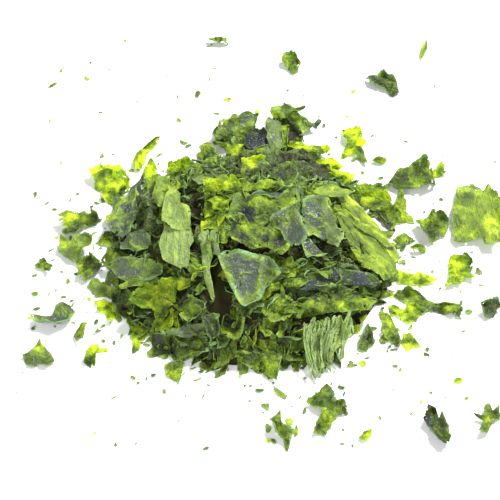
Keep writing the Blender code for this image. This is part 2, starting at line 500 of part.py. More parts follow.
def make_strays(dark, lime):
    """The loose flakes round the heap, each resting on the floor."""
    for name, flake in STRAYS.items():
        material = lime if name in LIME_STRAYS else dark
        stray = flake_object(name, flake, bpy.context.scene.collection, material)
        apply_modifiers(stray)
        lowest = min(vert.co.z for vert in stray.data.vertices)
        stray.data.transform(Matrix.Translation((0.0, 0.0, -lowest)))


def main():
    """Build the heap and its strays in an empty scene."""
    for old in list(bpy.data.objects):
        bpy.data.objects.remove(old)
    make_heap(leaf_material("mixed_leaf", (0.09, 0.16, 0.03), 0.5))
    make_strays(leaf_material("dark_leaf", (0.04, 0.08, 0.03), 0.5),
                leaf_material("lime_leaf", (0.3, 0.4, 0.02), 0.4))


main()
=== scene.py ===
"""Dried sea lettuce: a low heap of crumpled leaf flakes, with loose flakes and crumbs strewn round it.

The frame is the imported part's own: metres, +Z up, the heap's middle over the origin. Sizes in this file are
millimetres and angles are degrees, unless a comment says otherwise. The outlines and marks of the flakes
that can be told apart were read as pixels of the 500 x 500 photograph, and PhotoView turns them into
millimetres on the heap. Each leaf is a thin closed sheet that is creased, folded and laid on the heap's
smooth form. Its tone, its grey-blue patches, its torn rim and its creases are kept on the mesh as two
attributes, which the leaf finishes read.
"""

import logging
import math
import random
from dataclasses import dataclass, field, replace
from enum import Enum

import bmesh
import bpy
from mathutils import Matrix, Vector, noise


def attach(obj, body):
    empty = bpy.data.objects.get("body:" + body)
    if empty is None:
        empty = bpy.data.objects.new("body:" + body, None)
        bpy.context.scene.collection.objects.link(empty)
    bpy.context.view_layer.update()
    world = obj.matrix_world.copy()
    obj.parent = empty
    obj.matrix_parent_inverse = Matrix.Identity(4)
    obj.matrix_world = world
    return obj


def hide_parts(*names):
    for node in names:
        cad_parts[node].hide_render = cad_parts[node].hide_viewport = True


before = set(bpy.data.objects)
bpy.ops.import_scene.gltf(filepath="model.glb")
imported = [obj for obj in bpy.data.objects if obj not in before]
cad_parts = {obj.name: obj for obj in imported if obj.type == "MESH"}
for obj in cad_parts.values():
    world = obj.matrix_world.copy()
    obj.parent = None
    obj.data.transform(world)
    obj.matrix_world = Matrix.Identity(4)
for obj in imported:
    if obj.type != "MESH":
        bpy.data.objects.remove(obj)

LOG = logging.getLogger("sea_lettuce")
MM = 0.001
BODY = "root"
UP = Vector((0.0, 0.0, 1.0))
GOLDEN_ANGLE = math.radians(137.508)
BOW_LEVEL = 0.4  # the share of a bow that is taken off again, so that a flake's middle stays in place
LARGE_FLAKE = 8.5  # a flake at least this wide hides the filling under it


class Finish(Enum):
    """The dressings of a leaf, by how much light it lets through; the value is the record's slot."""

    THIN = "lime_leaf"
    MIXED = "mixed_leaf"
    THICK = "dark_leaf"


@dataclass(frozen=True)
class Look:
    """How one kind of leaf looks.

    finish: its dressing. tone: 0 brown-black, 0.3 dark green, 0.5 green, 0.75 yellow-green, 1 lime.
    slate: share of it in grey-blue patches, its own dark navy under a painted grey-blue sheen. pale: how
    dusty it is. streak: strength of the lines along its length. crinkle: height of its sharp creases.
    ragged: how torn its outline is. rim: how much lighter its torn edge is than its middle, partly the thin
    edge's own lighter green and partly a painted glow of light through it. spread: how far its tone
    varies. grain: how rough its skin is, from a smooth satin one to one of dry crumpled facets.
    """

    finish: Finish
    tone: float
    slate: float = 0.0
    pale: float = 0.0
    streak: float = 0.0
    crinkle: float = 0.5
    ragged: float = 0.1
    rim: float = 0.2
    spread: float = 0.3
    grain: float = 1.0


class Kind(Enum):
    """The kinds of leaf that the heap is made of."""

    LIME = Look(Finish.THIN, 0.82, crinkle=0.8, ragged=0.10, rim=0.2, spread=0.55, grain=0.7)
    YELLOW = Look(Finish.THIN, 0.70, slate=0.1, crinkle=1.1, ragged=0.10, rim=0.3, spread=0.4, grain=0.9)
    BLADE = Look(Finish.MIXED, 0.60, pale=0.08, streak=0.6, crinkle=0.28, ragged=0.03, rim=0.15,
                 spread=0.15, grain=0.3)
    TONGUE = Look(Finish.MIXED, 0.65, pale=0.45, streak=0.2, crinkle=0.32, ragged=0.03, rim=0.15,
                  spread=0.1, grain=0.35)
    DUSTY = Look(Finish.MIXED, 0.56, pale=0.6, streak=0.5, crinkle=0.25, ragged=0.03, rim=0.1,
                 spread=0.1, grain=0.3)
    SATIN = Look(Finish.MIXED, 0.56, pale=0.2, streak=0.2, crinkle=0.9, ragged=0.05, rim=0.3,
                 spread=0.3, grain=0.45)
    MIDDLE = Look(Finish.MIXED, 0.48, slate=0.2, crinkle=1.1, ragged=0.10, rim=0.55, spread=0.35)
    OLIVE = Look(Finish.MIXED, 0.57, slate=0.1, crinkle=1.1, ragged=0.10, rim=0.45, spread=0.3)
    MOTTLED = Look(Finish.MIXED, 0.41, slate=0.2, crinkle=0.95, ragged=0.04, rim=0.25, spread=0.35, grain=0.6)
    FACET = Look(Finish.THICK, 0.38, slate=0.5, pale=0.1, crinkle=0.85, ragged=0.04, rim=0.5,
                 spread=0.15, grain=0.35)
    SLATE = Look(Finish.THICK, 0.33, slate=0.8, crinkle=0.7, ragged=0.04, rim=0.5, spread=0.2, grain=0.35)
    CUPPED = Look(Finish.THICK, 0.38, slate=0.45, pale=0.1, crinkle=0.5, ragged=0.03, rim=0.8,
                  spread=0.12, grain=0.25)
    TEAL = Look(Finish.MIXED, 0.45, slate=0.45, pale=0.35, crinkle=0.85, ragged=0.06, rim=0.25,
                spread=0.2, grain=0.5)
    GREY = Look(Finish.MIXED, 0.54, slate=0.35, pale=0.2, crinkle=1.4, ragged=0.08, rim=0.5,
                spread=0.35, grain=0.8)
    NAVY = Look(Finish.THICK, 0.16, slate=0.9, crinkle=0.6, rim=0.2, grain=0.4)
    DARK = Look(Finish.THICK, 0.25, slate=0.25, crinkle=1.1, ragged=0.10, rim=0.6, spread=0.25)
    # Near-black leaves, painted shade in the hollows and gaps of the heap.
    BLACK = Look(Finish.THICK, 0.17, crinkle=0.8, rim=0.15, spread=0.15)
    FIBRE = Look(Finish.MIXED, 0.85, slate=0.1, pale=1.3, streak=2.0, crinkle=0.5, ragged=0.1,
                 spread=0.3, grain=0.7)
    # Near-black leaves of the deep filling, painted shade under the top layer.
    DEEP_SHADE = Look(Finish.THICK, 0.14, slate=0.1, crinkle=1.1, ragged=0.10, rim=0.15, spread=0.3)


class Outline(Enum):
    """Outlines that more than one flake has: rows of angle and reach."""

    BLADE = ((0, 1.0), (40, 0.85), (90, 1.0), (140, 0.9), (180, 1.0), (220, 0.9), (270, 1.0), (320, 0.85))
    SLAB = ((25, 1.15), (75, 0.95), (140, 1.2), (205, 1.1), (260, 1.0), (330, 1.2))
    KITE = ((0, 1.15), (70, 0.95), (150, 1.05), (215, 0.9), (290, 1.0))
    STRIP = ((0, 1.0), (25, 0.8), (90, 0.9), (135, 1.3), (180, 1.0), (225, 1.3), (270, 0.9), (335, 0.8))
    SCRAP = ()


@dataclass(frozen=True)
class Flake:
    """One crumpled flake: its kind, its place, its torn outline and its folds.

    at: the middle, in plan. size: length and width. turn: heading of the length from +X.
    lift: height over the heap's form. tilt: nose up and left edge up, from the heap's slope.
    folds: rows of reach, heading, angle and radius. A row creases the flake across its heading,
    at that share of its half size, and bends what lies beyond it up by the angle.
    wave: how far the sheet waves up and down. seed: its own random draw.
    bow: how far its ends curve to the left. slope: the share of the heap's slope that it leans with.
    corners: its own outline, in place of a shared one, as points along and across it.
    blots: patches of another colour, as the middle, the half sizes, the share in grey-blue, which is dark
    navy under a painted sheen, and the step in tone. ridge_shading: raised and sunk lines, as the start, the
    end, the width, the height and the painted lightness: a painted highlight along a raised line, painted
    shade along a sunk one.
    """

    kind: Kind
    at: tuple[float, float]
    size: tuple[float, float]
    turn: float = 0.0
    lift: float = 0.0
    tilt: tuple[float, float] = (0.0, 0.0)
    folds: tuple[tuple[float, ...], ...] = ()
    outline: Outline = Outline.SCRAP
    wave: float = 0.8
    seed: int = 1
    bow: float = 0.0
    slope: float = 0.6
    corners: tuple[tuple[float, float], ...] = ()
    blots: tuple[tuple[float, ...], ...] = ()
    ridge_shading: tuple[tuple[float, ...], ...] = ()


@dataclass(frozen=True)
class Seen:
    """One flake as the photograph shows it.

    corners: its outline, in the photograph's pixels, from the upper left. blots: patches of another
    colour, as the middle and the half sizes in pixels, the share in grey-blue, which is dark navy under a
    painted sheen, and the step in tone. ridge_shading: raised and sunk lines, as the start and the end in
    pixels, the width, the height and the painted lightness: a painted highlight along a raised line,
    painted shade along a sunk one.
    The rest is as in Flake. Its middle and its size aren't written: they follow from its corners.
    """

    kind: Kind
    turn: float
    lift: float
    tilt: tuple[float, float]
    folds: tuple[tuple[float, ...], ...] = ()
    wave: float = 0.8
    seed: int = 1
    bow: float = 0.0
    slope: float = 0.6
    corners: tuple[tuple[int, int], ...] = ()
    blots: tuple[tuple[float, ...], ...] = ()
    ridge_shading: tuple[tuple[float, ...], ...] = ()


@dataclass(frozen=True)
class Bit:
    """One larger crumb, as given: its place, length and width in pixels and its angle in the picture."""

    kind: Kind
    across: float
    down: float
    length: float
    width: float
    turn: float


CROWN: dict[str, Seen | Flake] = {
    "mottled_sheet": Seen(Kind.MOTTLED, 2, 1.4, (0, -4), folds=((0.75, 90, -30, 3), (0.8, 200, -30, 3)),
        wave=0.9, seed=11,
        corners=((230, 207), (235, 191), (248, 192), (262, 197), (271, 198), (282, 195), (292, 190),
                 (299, 195), (301, 208), (300, 225), (298, 240), (292, 245), (284, 251), (274, 247),
                 (262, 243), (250, 245), (241, 242), (232, 236), (228, 225)),
        blots=((248, 213, 8, 6, 0.75, -0.2), (233, 222, 4, 8, 0.75, -0.2), (265, 235, 4, 4, 0.8, -0.2),
               (281, 238, 8, 5, 0.7, -0.25), (265, 207, 18, 6, -0.3, 0.12),
               # The last blot is painted shade in a dark slot of the sheet.
               (243, 218, 4, 5, -0.5, 0.3), (247, 228, 5, 5, 0, 0.25), (266, 225, 2, 1.5, 0, -0.6)),
        ridge_shading=((270, 220, 291, 246, 0.7, 0.6, 0.9), (232, 238, 278, 246, 0.6, 0.4, 0.8),
               (252, 222, 270, 219, 0.5, 0.3, 0.6), (236, 205, 262, 200, 0.5, 0.3, 0.6))),
    "mottled_diamond": Seen(Kind.FACET, 84, 2.8, (-2, -4), folds=((0.6, 0, -30, 3),), wave=0.6, seed=12,
        corners=((291, 199), (300, 213), (303, 221), (308, 238), (300, 246), (292, 245), (281, 232),
                 (270, 220), (273, 213), (283, 205)),
        blots=((288, 222, 13, 16, 0.1, -0.1), (296, 233, 9, 8, 0.7, -0.12),
               (278, 217, 6, 7, 0.7, -0.05), (291, 211, 6, 5, -0.3, 0.06)),
        ridge_shading=((272, 218, 291, 200, 0.6, 0.4, 0.6), (292, 199, 300, 214, 0.6, -0.6, -1),
               (301, 206, 303, 230, 0.6, 0.3, 0.8), (284, 225, 298, 224, 0.4, 0.3, 0.5))),
    "grey_facet": Seen(Kind.FACET, -51, 2.2, (0, 4), folds=((0.7, 250, -30, 3), (0.7, 90, -20, 3)),
        wave=0.7, seed=13,
        corners=((303, 200), (312, 194), (326, 196), (332, 205), (338, 213), (342, 225), (345, 234),
                 (342, 240), (339, 244), (330, 240), (322, 237), (313, 232), (309, 236), (304, 228),
                 (302, 215)),
        blots=((313, 211, 10, 8, 0.6, 0.02), (314, 232, 9, 4, -0.7, 0.16),
               (331, 216, 8, 11, -0.5, -0.14), (337, 230, 7, 8, -0.4, -0.06)),
        ridge_shading=((308, 214, 322, 218, 0.6, 0.3, 1), (312, 224, 324, 226, 0.5, 0.3, 1),
               (327, 198, 339, 217, 0.6, 0.3, 0.9), (333, 204, 343, 222, 0.6, -0.4, -0.8))),
    "hanging_flap": Seen(Kind.CUPPED, -55, 0.6, (0, -4), folds=((0.5, 0, 30, 2),), wave=0.4, seed=14,
        corners=((302, 222), (308, 235), (313, 242), (320, 249), (327, 255), (325, 259), (317, 260),
                 (308, 259), (303, 250), (300, 240)),
        blots=((314, 246, 9, 8, 0.5, -0.25),),
        ridge_shading=((301, 246, 309, 257, 0.9, 0.2, 0.9), (309, 258, 324, 256, 0.9, 0.2, 0.9))),
    "slate_ridge": Seen(Kind.SLATE, 5, 1.6, (0, -10), folds=((0.4, 90, -40, 2),), wave=0.5, seed=15,
        corners=((250, 192), (262, 189), (270, 185), (281, 187), (293, 190), (285, 194), (276, 197),
                 (270, 199), (262, 197), (254, 196))),
    "crest_strip": Seen(Kind.YELLOW, 8, 1.6, (0, 10), folds=((0.3, 90, 45, 2),), wave=1, seed=16,
        corners=((250, 184), (262, 181), (272, 180), (282, 183), (292, 187), (298, 190), (289, 191),
                 (278, 188), (268, 186), (258, 188))),
    "crest_crumple": Seen(Kind.GREY, 24, 1.2, (0, 16), folds=((0.3, 0, 50, 2), (0.4, 180, 40, 2)),
        wave=1.4, seed=17,
        corners=((296, 172), (306, 172), (312, 178), (319, 182), (316, 190), (305, 193), (297, 190),
                 (293, 183))),
    "yellow_cap": Seen(Kind.YELLOW, 2, 1.6, (0, 14), folds=((0.4, 90, 40, 2),), wave=1, seed=18,
        corners=((203, 179), (214, 179), (222, 176), (232, 178), (240, 181), (241, 187), (233, 192),
                 (222, 191), (212, 190), (203, 190))),
    "yellow_box": Seen(Kind.YELLOW, -86, 1.6, (0, 0), folds=((0.5, 90, 50, 2), (0.5, 270, 45, 2)),
        seed=19,
        corners=((212, 190), (222, 190), (231, 193), (231, 202), (229, 211), (221, 212), (213, 211),
                 (211, 200))),
    "yellow_leaf": Seen(Kind.YELLOW, 69, 1.2, (0, 0), folds=((0.5, 0, -30, 2),), wave=0.7, seed=20,
        corners=((218, 213), (228, 212), (229, 222), (227, 234), (225, 238), (220, 231), (217, 222))),
    "yellow_spike": Seen(Kind.YELLOW, -84, 1.4, (0, 12), wave=0.4, seed=21,
        corners=((211, 212), (216, 219), (217, 229), (211, 228), (203, 226), (199, 230), (200, 222),
                 (205, 216))),
    "lime_cap": Seen(Kind.BLADE, 21, 1.8, (0, -6), folds=((0.4, 90, 40, 2),), wave=1, seed=22,
        corners=((310, 193), (318, 188), (326, 185), (336, 185), (345, 189), (352, 195), (346, 198),
                 (336, 197), (326, 197), (316, 197))),
    "teal_strip": Seen(Kind.TEAL, -20, 0.9, (0, 12), folds=((0.3, 90, 40, 2),), wave=0.6, seed=23,
        corners=((190, 174), (200, 173), (212, 175), (226, 174), (227, 178), (214, 178), (206, 181),
                 (199, 185), (192, 181))),
    "dark_slab": Flake(Kind.DARK, (11, 14), (25, 11), 12, 0.6, (0, 10),
        folds=((0.5, 90, -25, 3), (0.7, 0, -20, 3)), outline=Outline.BLADE, wave=1, seed=24),
    # far_slab and far_sheet: near-black sheets in the hollow under the back slabs, painted shade.
    "far_slab": Flake(Kind.BLACK, (5, 20), (18, 10), 3, 0.4, (0, 22), folds=((0.6, 90, 30, 3),),
        outline=Outline.SLAB, seed=25),
    "far_sheet": Flake(Kind.BLACK, (16, 21), (17, 10), 2, 0.6, (0, 22), folds=((0.6, 90, -30, 3),),
        outline=Outline.SLAB, wave=0.9, seed=26),
    "lime_fleck": Seen(Kind.LIME, 10, 1.2, (0, 24), folds=((0.3, 90, 40, 2),), wave=0.6, seed=27,
        corners=((240, 159), (248, 159), (256, 156), (266, 157), (262, 162), (256, 166), (250, 169),
                 (251, 175), (245, 178), (241, 171), (243, 165))),
    "side_column": Seen(Kind.YELLOW, -88, 1.2, (0, 10), folds=((0.4, 90, 40, 2),), wave=0.6, seed=28,
        corners=((203, 190), (208, 189), (211, 200), (211, 212), (207, 218), (202, 214), (202, 202))),
    "crease_leaf": Seen(Kind.OLIVE, 20, 2.2, (0, 10), folds=((0.3, 90, 40, 2),), wave=0.5, seed=29,
        corners=((238, 214), (243, 214), (247, 219), (251, 226), (248, 232), (242, 231), (240, 223))),
}

BACK: dict[str, Seen | Flake] = {
    "back_base": Flake(Kind.DARK, (3, 41), (20, 15), -10, 1.4, (0, 6), folds=((0.5, 90, -20, 3),),
        outline=Outline.SLAB, seed=110, slope=0),
    "stem_base": Flake(Kind.DARK, (11, 49), (15, 11), -60, 1.6, (4, 6), folds=((0.5, 0, 20, 3),),
        outline=Outline.SLAB, wave=0.7, seed=111, slope=0),
    "crumple_base": Flake(Kind.MIDDLE, (-4, 45), (15, 12), 5, 1.4, (0, 8), folds=((0.5, 180, 25, 3),),
        outline=Outline.SLAB, wave=0.7, seed=112, slope=0),
    "grey_crumple": Seen(Kind.GREY, -5, 4.2, (0, 22), folds=((0.6, 180, 35, 2), (0.6, 30, 30, 2)),
        wave=1.6, seed=31, slope=0,
        corners=((212, 137), (214, 130), (219, 121), (222, 117), (230, 116), (233, 114), (238, 117),
                 (243, 113), (249, 112), (252, 114), (258, 114), (259, 122), (256, 128), (251, 131),
                 (249, 135), (245, 142), (235, 143), (228, 140), (219, 139))),
    "purple_cup": Seen(Kind.NAVY, 25, 4.2, (0, 20), folds=((0.3, 90, 45, 2), (0.4, 0, 45, 2)), wave=0.5,
        seed=33, slope=0,
        corners=((248, 134), (255, 129), (261, 130), (267, 124), (268, 133), (267, 142), (262, 147),
                 (252, 149), (243, 146), (246, 139))),
    "teal_flake": Seen(Kind.TEAL, 4, 3.2, (0, 12), folds=((0.4, 90, 30, 3),), wave=0.6, seed=34, slope=0,
        corners=((242, 146), (252, 149), (262, 148), (270, 144), (271, 151), (263, 157), (252, 158),
                 (243, 156))),
    "lime_patch": Seen(Kind.LIME, 0, 2.8, (0, 14), wave=0.5, seed=47, slope=0,
        corners=((227, 144), (236, 143), (244, 144), (244, 152), (240, 156), (232, 155), (227, 151))),
    "slate_strip": Seen(Kind.TEAL, -82, 3.8, (0, -12), folds=((0.3, 90, 35, 3), (0.7, 0, -20, 3)),
        wave=0.6, seed=36, slope=0,
        corners=((266, 119), (271, 115), (277, 117), (281, 125), (283, 135), (284, 146), (279, 151),
                 (273, 152), (270, 145), (267, 136), (268, 127))),
    "crown_stem": Seen(Kind.OLIVE, -86, 3, (-6, 0), wave=0.3, seed=37, slope=0,
        corners=((279, 119), (286, 119), (289, 123), (288, 135), (288, 148), (283, 152), (280, 141),
                 (283, 130))),
    "crown_top": Seen(Kind.MIDDLE, -31, 5.5, (0, 26), folds=((0.3, 90, -50, 2), (0.6, 180, -30, 2)),
        seed=38, slope=0,
        corners=((276, 107), (278, 100), (283, 97), (290, 96), (297, 98), (302, 103), (306, 109),
                 (299, 110), (292, 111), (287, 117), (280, 118), (275, 113))),
    "crown_right": Seen(Kind.GREY, -42, 4.4, (0, 22), folds=((0.3, 90, -45, 2), (0.5, 0, -35, 2)),
        seed=39, slope=0,
        corners=((288, 110), (296, 108), (305, 109), (313, 111), (318, 115), (322, 121), (319, 127),
                 (312, 127), (305, 128), (302, 133), (299, 126), (294, 122), (288, 119))),
    "crown_left": Seen(Kind.LIME, 13, 3.4, (0, 14), folds=((0.3, 180, 30, 2),), wave=0.4, seed=45,
        slope=0,
        corners=((269, 110), (273, 107), (279, 106), (282, 112), (280, 118), (274, 118), (270, 114))),
    "lime_ridge": Seen(Kind.LIME, -10, 2.6, (0, 12), folds=((0.3, 90, -55, 2),), wave=0.6, seed=40,
        slope=0,
        corners=((287, 147), (291, 142), (300, 141), (308, 139), (317, 140), (325, 144), (332, 150),
                 (325, 154), (316, 151), (306, 150), (297, 149))),
    "ridge_foot": Flake(Kind.DARK, (18, 34), (14, 10), 85, 1.6, (6, 0), folds=((0.6, 0, -25, 3),),
        outline=Outline.SLAB, seed=41, slope=0),
    "dark_hood": Seen(Kind.DARK, -19, 3.6, (0, 4), folds=((0.4, 0, -30, 3), (0.4, 180, -25, 3)), wave=0.4,
        seed=42, slope=0.2,
        corners=((190, 157), (193, 148), (200, 142), (209, 144), (217, 148), (223, 151), (226, 160),
                 (226, 172), (220, 175), (214, 170), (208, 161), (200, 157), (193, 160)),
        blots=((203, 147, 9, 5, -0.2, 0.35), (221, 156, 4, 12, 0.5, 0.08), (213, 152, 5, 8, 0, 0.2)),
        ridge_shading=((226, 148, 224, 172, 0.5, 0.3, 0.9),)),
    "top_yellow": Seen(Kind.YELLOW, 0, 3.4, (0, 16), folds=((0.4, 90, -30, 2),), wave=0.7, seed=43,
        slope=0,
        corners=((166, 166), (169, 160), (176, 159), (178, 156), (188, 157), (193, 163), (193, 169),
                 (187, 171), (178, 170), (170, 169))),
    "green_top": Seen(Kind.SATIN, 90, 1.2, (0, 8), folds=((0.4, 0, 30, 2),), wave=0.6, seed=48,
        corners=((163, 176), (167, 171), (176, 170), (185, 172), (192, 176), (186, 181), (178, 181),
                 (170, 181), (164, 180))),
    "back_lime": Flake(Kind.LIME, (24.5, 32.5), (9, 7), 0, 2.2, (0, 14), folds=((0.3, 90, 30, 2),),
        outline=Outline.KITE, wave=0.5, seed=44, slope=0),
}

LEFT_SIDE: dict[str, Seen | Flake] = {
    "tongue_upper": Seen(Kind.TONGUE, 92, 2.4, (0, 4), folds=((0.5, 0, -20, 4), (0.7, 180, -15, 4)),
        wave=0.3, seed=51,
        corners=((168, 186), (171, 183), (176, 187), (180, 194), (181, 203), (188, 205), (191, 211),
                 (190, 220), (190, 227), (180, 228), (170, 227), (166, 223), (162, 220), (161, 211),
                 (163, 201), (165, 193)),
        blots=((168, 190, 8, 7, 0, 0.15), (180, 215, 8, 7, 0, -0.1), (171, 195, 1.5, 2, 0, -0.4)),
        ridge_shading=((170, 204, 170, 216, 0.6, 0.3, 1), (184, 206, 188, 214, 0.6, 0.3, 0.7),
               (163, 214, 176, 222, 0.5, -0.3, -0.6))),
    "tongue_lower": Seen(Kind.DUSTY, -88, 1.8, (0, 0), folds=((0.6, 0, -25, 4),), wave=0.3, seed=52,
        corners=((163, 222), (168, 227), (180, 226), (190, 226), (192, 233), (194, 241), (190, 248),
                 (189, 258), (187, 267), (180, 267), (171, 263), (163, 259), (160, 252), (159, 244),
                 (161, 236), (163, 228)),
        blots=((188, 235, 1, 2, 0, -0.6), (185, 258, 1, 2, 0, -0.6), (175, 262, 8, 4, 0, -0.1)),
        ridge_shading=((175, 229, 174, 262, 0.5, 0.2, 0.6), (183, 230, 181, 264, 0.5, 0.2, 0.5),
               (168, 235, 166, 252, 0.5, 0.2, 0.6), (179, 232, 178, 262, 0.5, -0.2, -0.4))),
    "mid_green_leaf": Seen(Kind.SATIN, 76, 1.6, (0, 8), folds=((0.5, 90, 35, 3),), wave=0.6, seed=53,
        corners=((162, 179), (171, 177), (181, 179), (178, 187), (170, 186), (166, 195), (163, 206),
                 (159, 208), (156, 202), (152, 197), (154, 188))),
    "navy_fold": Seen(Kind.FACET, 70, 3.2, (0, 6), folds=((0.35, 270, 15, 1.5), (0.6, 180, -20, 3)),
        wave=0.6, seed=54,
        corners=((142, 172), (145, 179), (144, 190), (142, 200), (140, 212), (135, 222), (130, 230),
                 (123, 235), (114, 232), (108, 228), (105, 218), (108, 208), (113, 200), (121, 197),
                 (128, 193), (130, 184), (135, 177)),
        blots=((140, 180, 6, 9, 0.8, -0.18), (135, 198, 5, 11, 0.8, -0.18),
               (130, 213, 5, 9, 0.8, -0.18), (112, 205, 6, 6, 0.3, 0), (121, 228, 6, 6, 0.3, 0),
               (124, 205, 5, 14, -0.5, 0.22), (108, 219, 6, 7, -0.4, 0.24)),
        ridge_shading=((144, 175, 126, 222, 0.6, 0.5, 1), (139, 190, 133, 222, 0.5, 0.4, 0.9),
               (147, 187, 138, 215, 0.5, 0.4, 1), (146, 182, 137, 212, 0.6, -0.4, -0.8))),
    "lime_lobe": Seen(Kind.LIME, 84, 1.8, (6, 0), folds=((0.4, 90, 25, 4), (0.5, 270, 25, 4)), wave=0.9,
        seed=55, slope=0,
        corners=((89, 171), (96, 166), (99, 163), (110, 163), (120, 166), (127, 173), (132, 181),
                 (131, 190), (128, 195), (122, 195), (116, 197), (114, 204), (110, 206), (107, 201),
                 (103, 198), (101, 190), (96, 187), (93, 180), (90, 177)),
        blots=((106, 177, 5, 12, 0.1, -0.2), (113, 187, 5, 12, 0.1, -0.2),
               (122, 190, 2.5, 7, 0.4, -0.3), (98, 172, 5, 5, 0, 0.1), (118, 170, 5, 8, 0, 0.1))),
    "lime_horn": Seen(Kind.LIME, 62, 2.2, (4, 8), folds=((0.3, 0, 20, 4),), wave=0.3, seed=56, bow=-4,
        slope=0,
        corners=((134, 169), (134, 160), (137, 152), (142, 147), (150, 143), (158, 139), (162, 137),
                 (158, 143), (150, 148), (146, 151), (143, 157), (147, 161), (144, 168), (138, 170))),
    "yellow_bud": Seen(Kind.YELLOW, 98, 1.2, (0, -6), folds=((0.4, 90, 45, 2),), wave=0.4, seed=57,
        corners=((143, 173), (145, 165), (151, 160), (156, 166), (157, 174), (155, 182), (150, 187),
                 (145, 184), (143, 178))),
    "left_facet": Seen(Kind.FACET, 2, 1.6, (0, 8), folds=((0.4, 300, -35, 2),), wave=0.7, seed=58,
        corners=((117, 240), (126, 236), (132, 231), (143, 229), (149, 233), (150, 245), (143, 248),
                 (136, 250), (126, 247), (118, 248)),
        blots=((137, 238, 9, 6, 0.5, 0), (130, 246, 8, 4, 0.4, 0)),
        ridge_shading=((128, 240, 142, 252, 0.6, 0.5, 0.9), (134, 232, 146, 236, 0.5, 0.3, 0.5))),
    "left_knot": Seen(Kind.MIDDLE, 13, 1.2, (0, 8), folds=((0.4, 0, 45, 2), (0.5, 180, 30, 2)), wave=1.2,
        seed=59,
        corners=((101, 258), (106, 252), (114, 249), (124, 251), (136, 257), (140, 263), (126, 264),
                 (118, 268), (106, 266))),
    "left_chip": Seen(Kind.OLIVE, 10, 1, (0, 8), folds=((0.4, 0, 40, 2),), wave=0.7, seed=60,
        corners=((97, 243), (104, 238), (102, 231), (112, 229), (120, 233), (116, 241), (108, 246),
                 (99, 246))),
    "blue_rim_flake": Seen(Kind.CUPPED, -11, 1.6, (0, 8), folds=((0.5, 90, -40, 2), (0.7, 0, 40, 2)),
        wave=0.7, seed=61,
        corners=((110, 257), (116, 252), (126, 254), (138, 256), (151, 258), (160, 261), (167, 267),
                 (168, 274), (160, 275), (152, 279), (140, 280), (126, 281), (117, 277), (110, 268)),
        blots=((128, 273, 14, 5, 0.8, 0.05), (122, 264, 6, 4, 0.4, -0.1), (152, 262, 12, 6, -0.3, 0.08)),
        ridge_shading=((117, 279, 140, 277, 0.6, 0.4, 0.8), (118, 287, 160, 279, 0.7, -0.4, -0.8),
               (142, 256, 165, 267, 0.7, 0.4, 0.9), (112, 262, 130, 257, 0.5, 0.3, 0.6))),
    "long_slat": Seen(Kind.SATIN, -8, 1.6, (0, 16), wave=0.5, seed=62,
        corners=((116, 289), (121, 282), (132, 279), (146, 278), (158, 277), (167, 279), (152, 282),
                 (140, 286), (126, 288))),
    "lime_tangle": Seen(Kind.YELLOW, -16, 1.6, (0, 6), folds=((0.5, 0, 50, 2), (0.5, 180, 45, 2)),
        wave=1.4, seed=63,
        corners=((131, 300), (136, 292), (145, 284), (156, 282), (168, 285), (173, 279), (181, 281),
                 (185, 288), (181, 296), (176, 302), (166, 304), (163, 313), (158, 321), (152, 317),
                 (150, 307), (143, 308), (137, 305))),
    "left_skirt": Seen(Kind.SATIN, -19, 1, (0, 5), folds=((0.5, 90, -25, 2),), wave=0.7, seed=64,
        corners=((86, 286), (92, 281), (104, 278), (110, 283), (116, 291), (120, 300), (112, 299),
                 (104, 296), (95, 297), (90, 291))),
    "left_lace": Seen(Kind.LIME, -48, 0.9, (0, 3), folds=((0.4, 0, 30, 2),), seed=65,
        corners=((94, 300), (104, 298), (111, 302), (119, 303), (119, 312), (114, 318), (116, 325),
                 (108, 322), (104, 313), (98, 311), (95, 305))),
    "inner_strip": Seen(Kind.DUSTY, -86, 1.5, (0, 18), folds=((0.4, 0, -15, 4),), wave=0.5, seed=66,
        corners=((202, 230), (207, 229), (211, 236), (211, 246), (213, 256), (210, 263), (209, 272),
                 (212, 281), (213, 290), (213, 301), (209, 298), (206, 286), (203, 273), (202, 260),
                 (200, 246), (198, 237))),
    "grey_strip": Seen(Kind.TEAL, -86, 1.3, (0, 12), wave=0.4, seed=67,
        corners=((212, 230), (218, 229), (220, 238), (218, 247), (220, 254), (215, 257), (213, 250),
                 (211, 240))),
    # A near-black sheet in the gap left of the tongue, painted shade.
    "dark_wall": Flake(Kind.BLACK, (-28, 2), (13, 6), 82, -0.8, (0, 20), outline=Outline.SLAB, wave=0.6,
        seed=68),
}

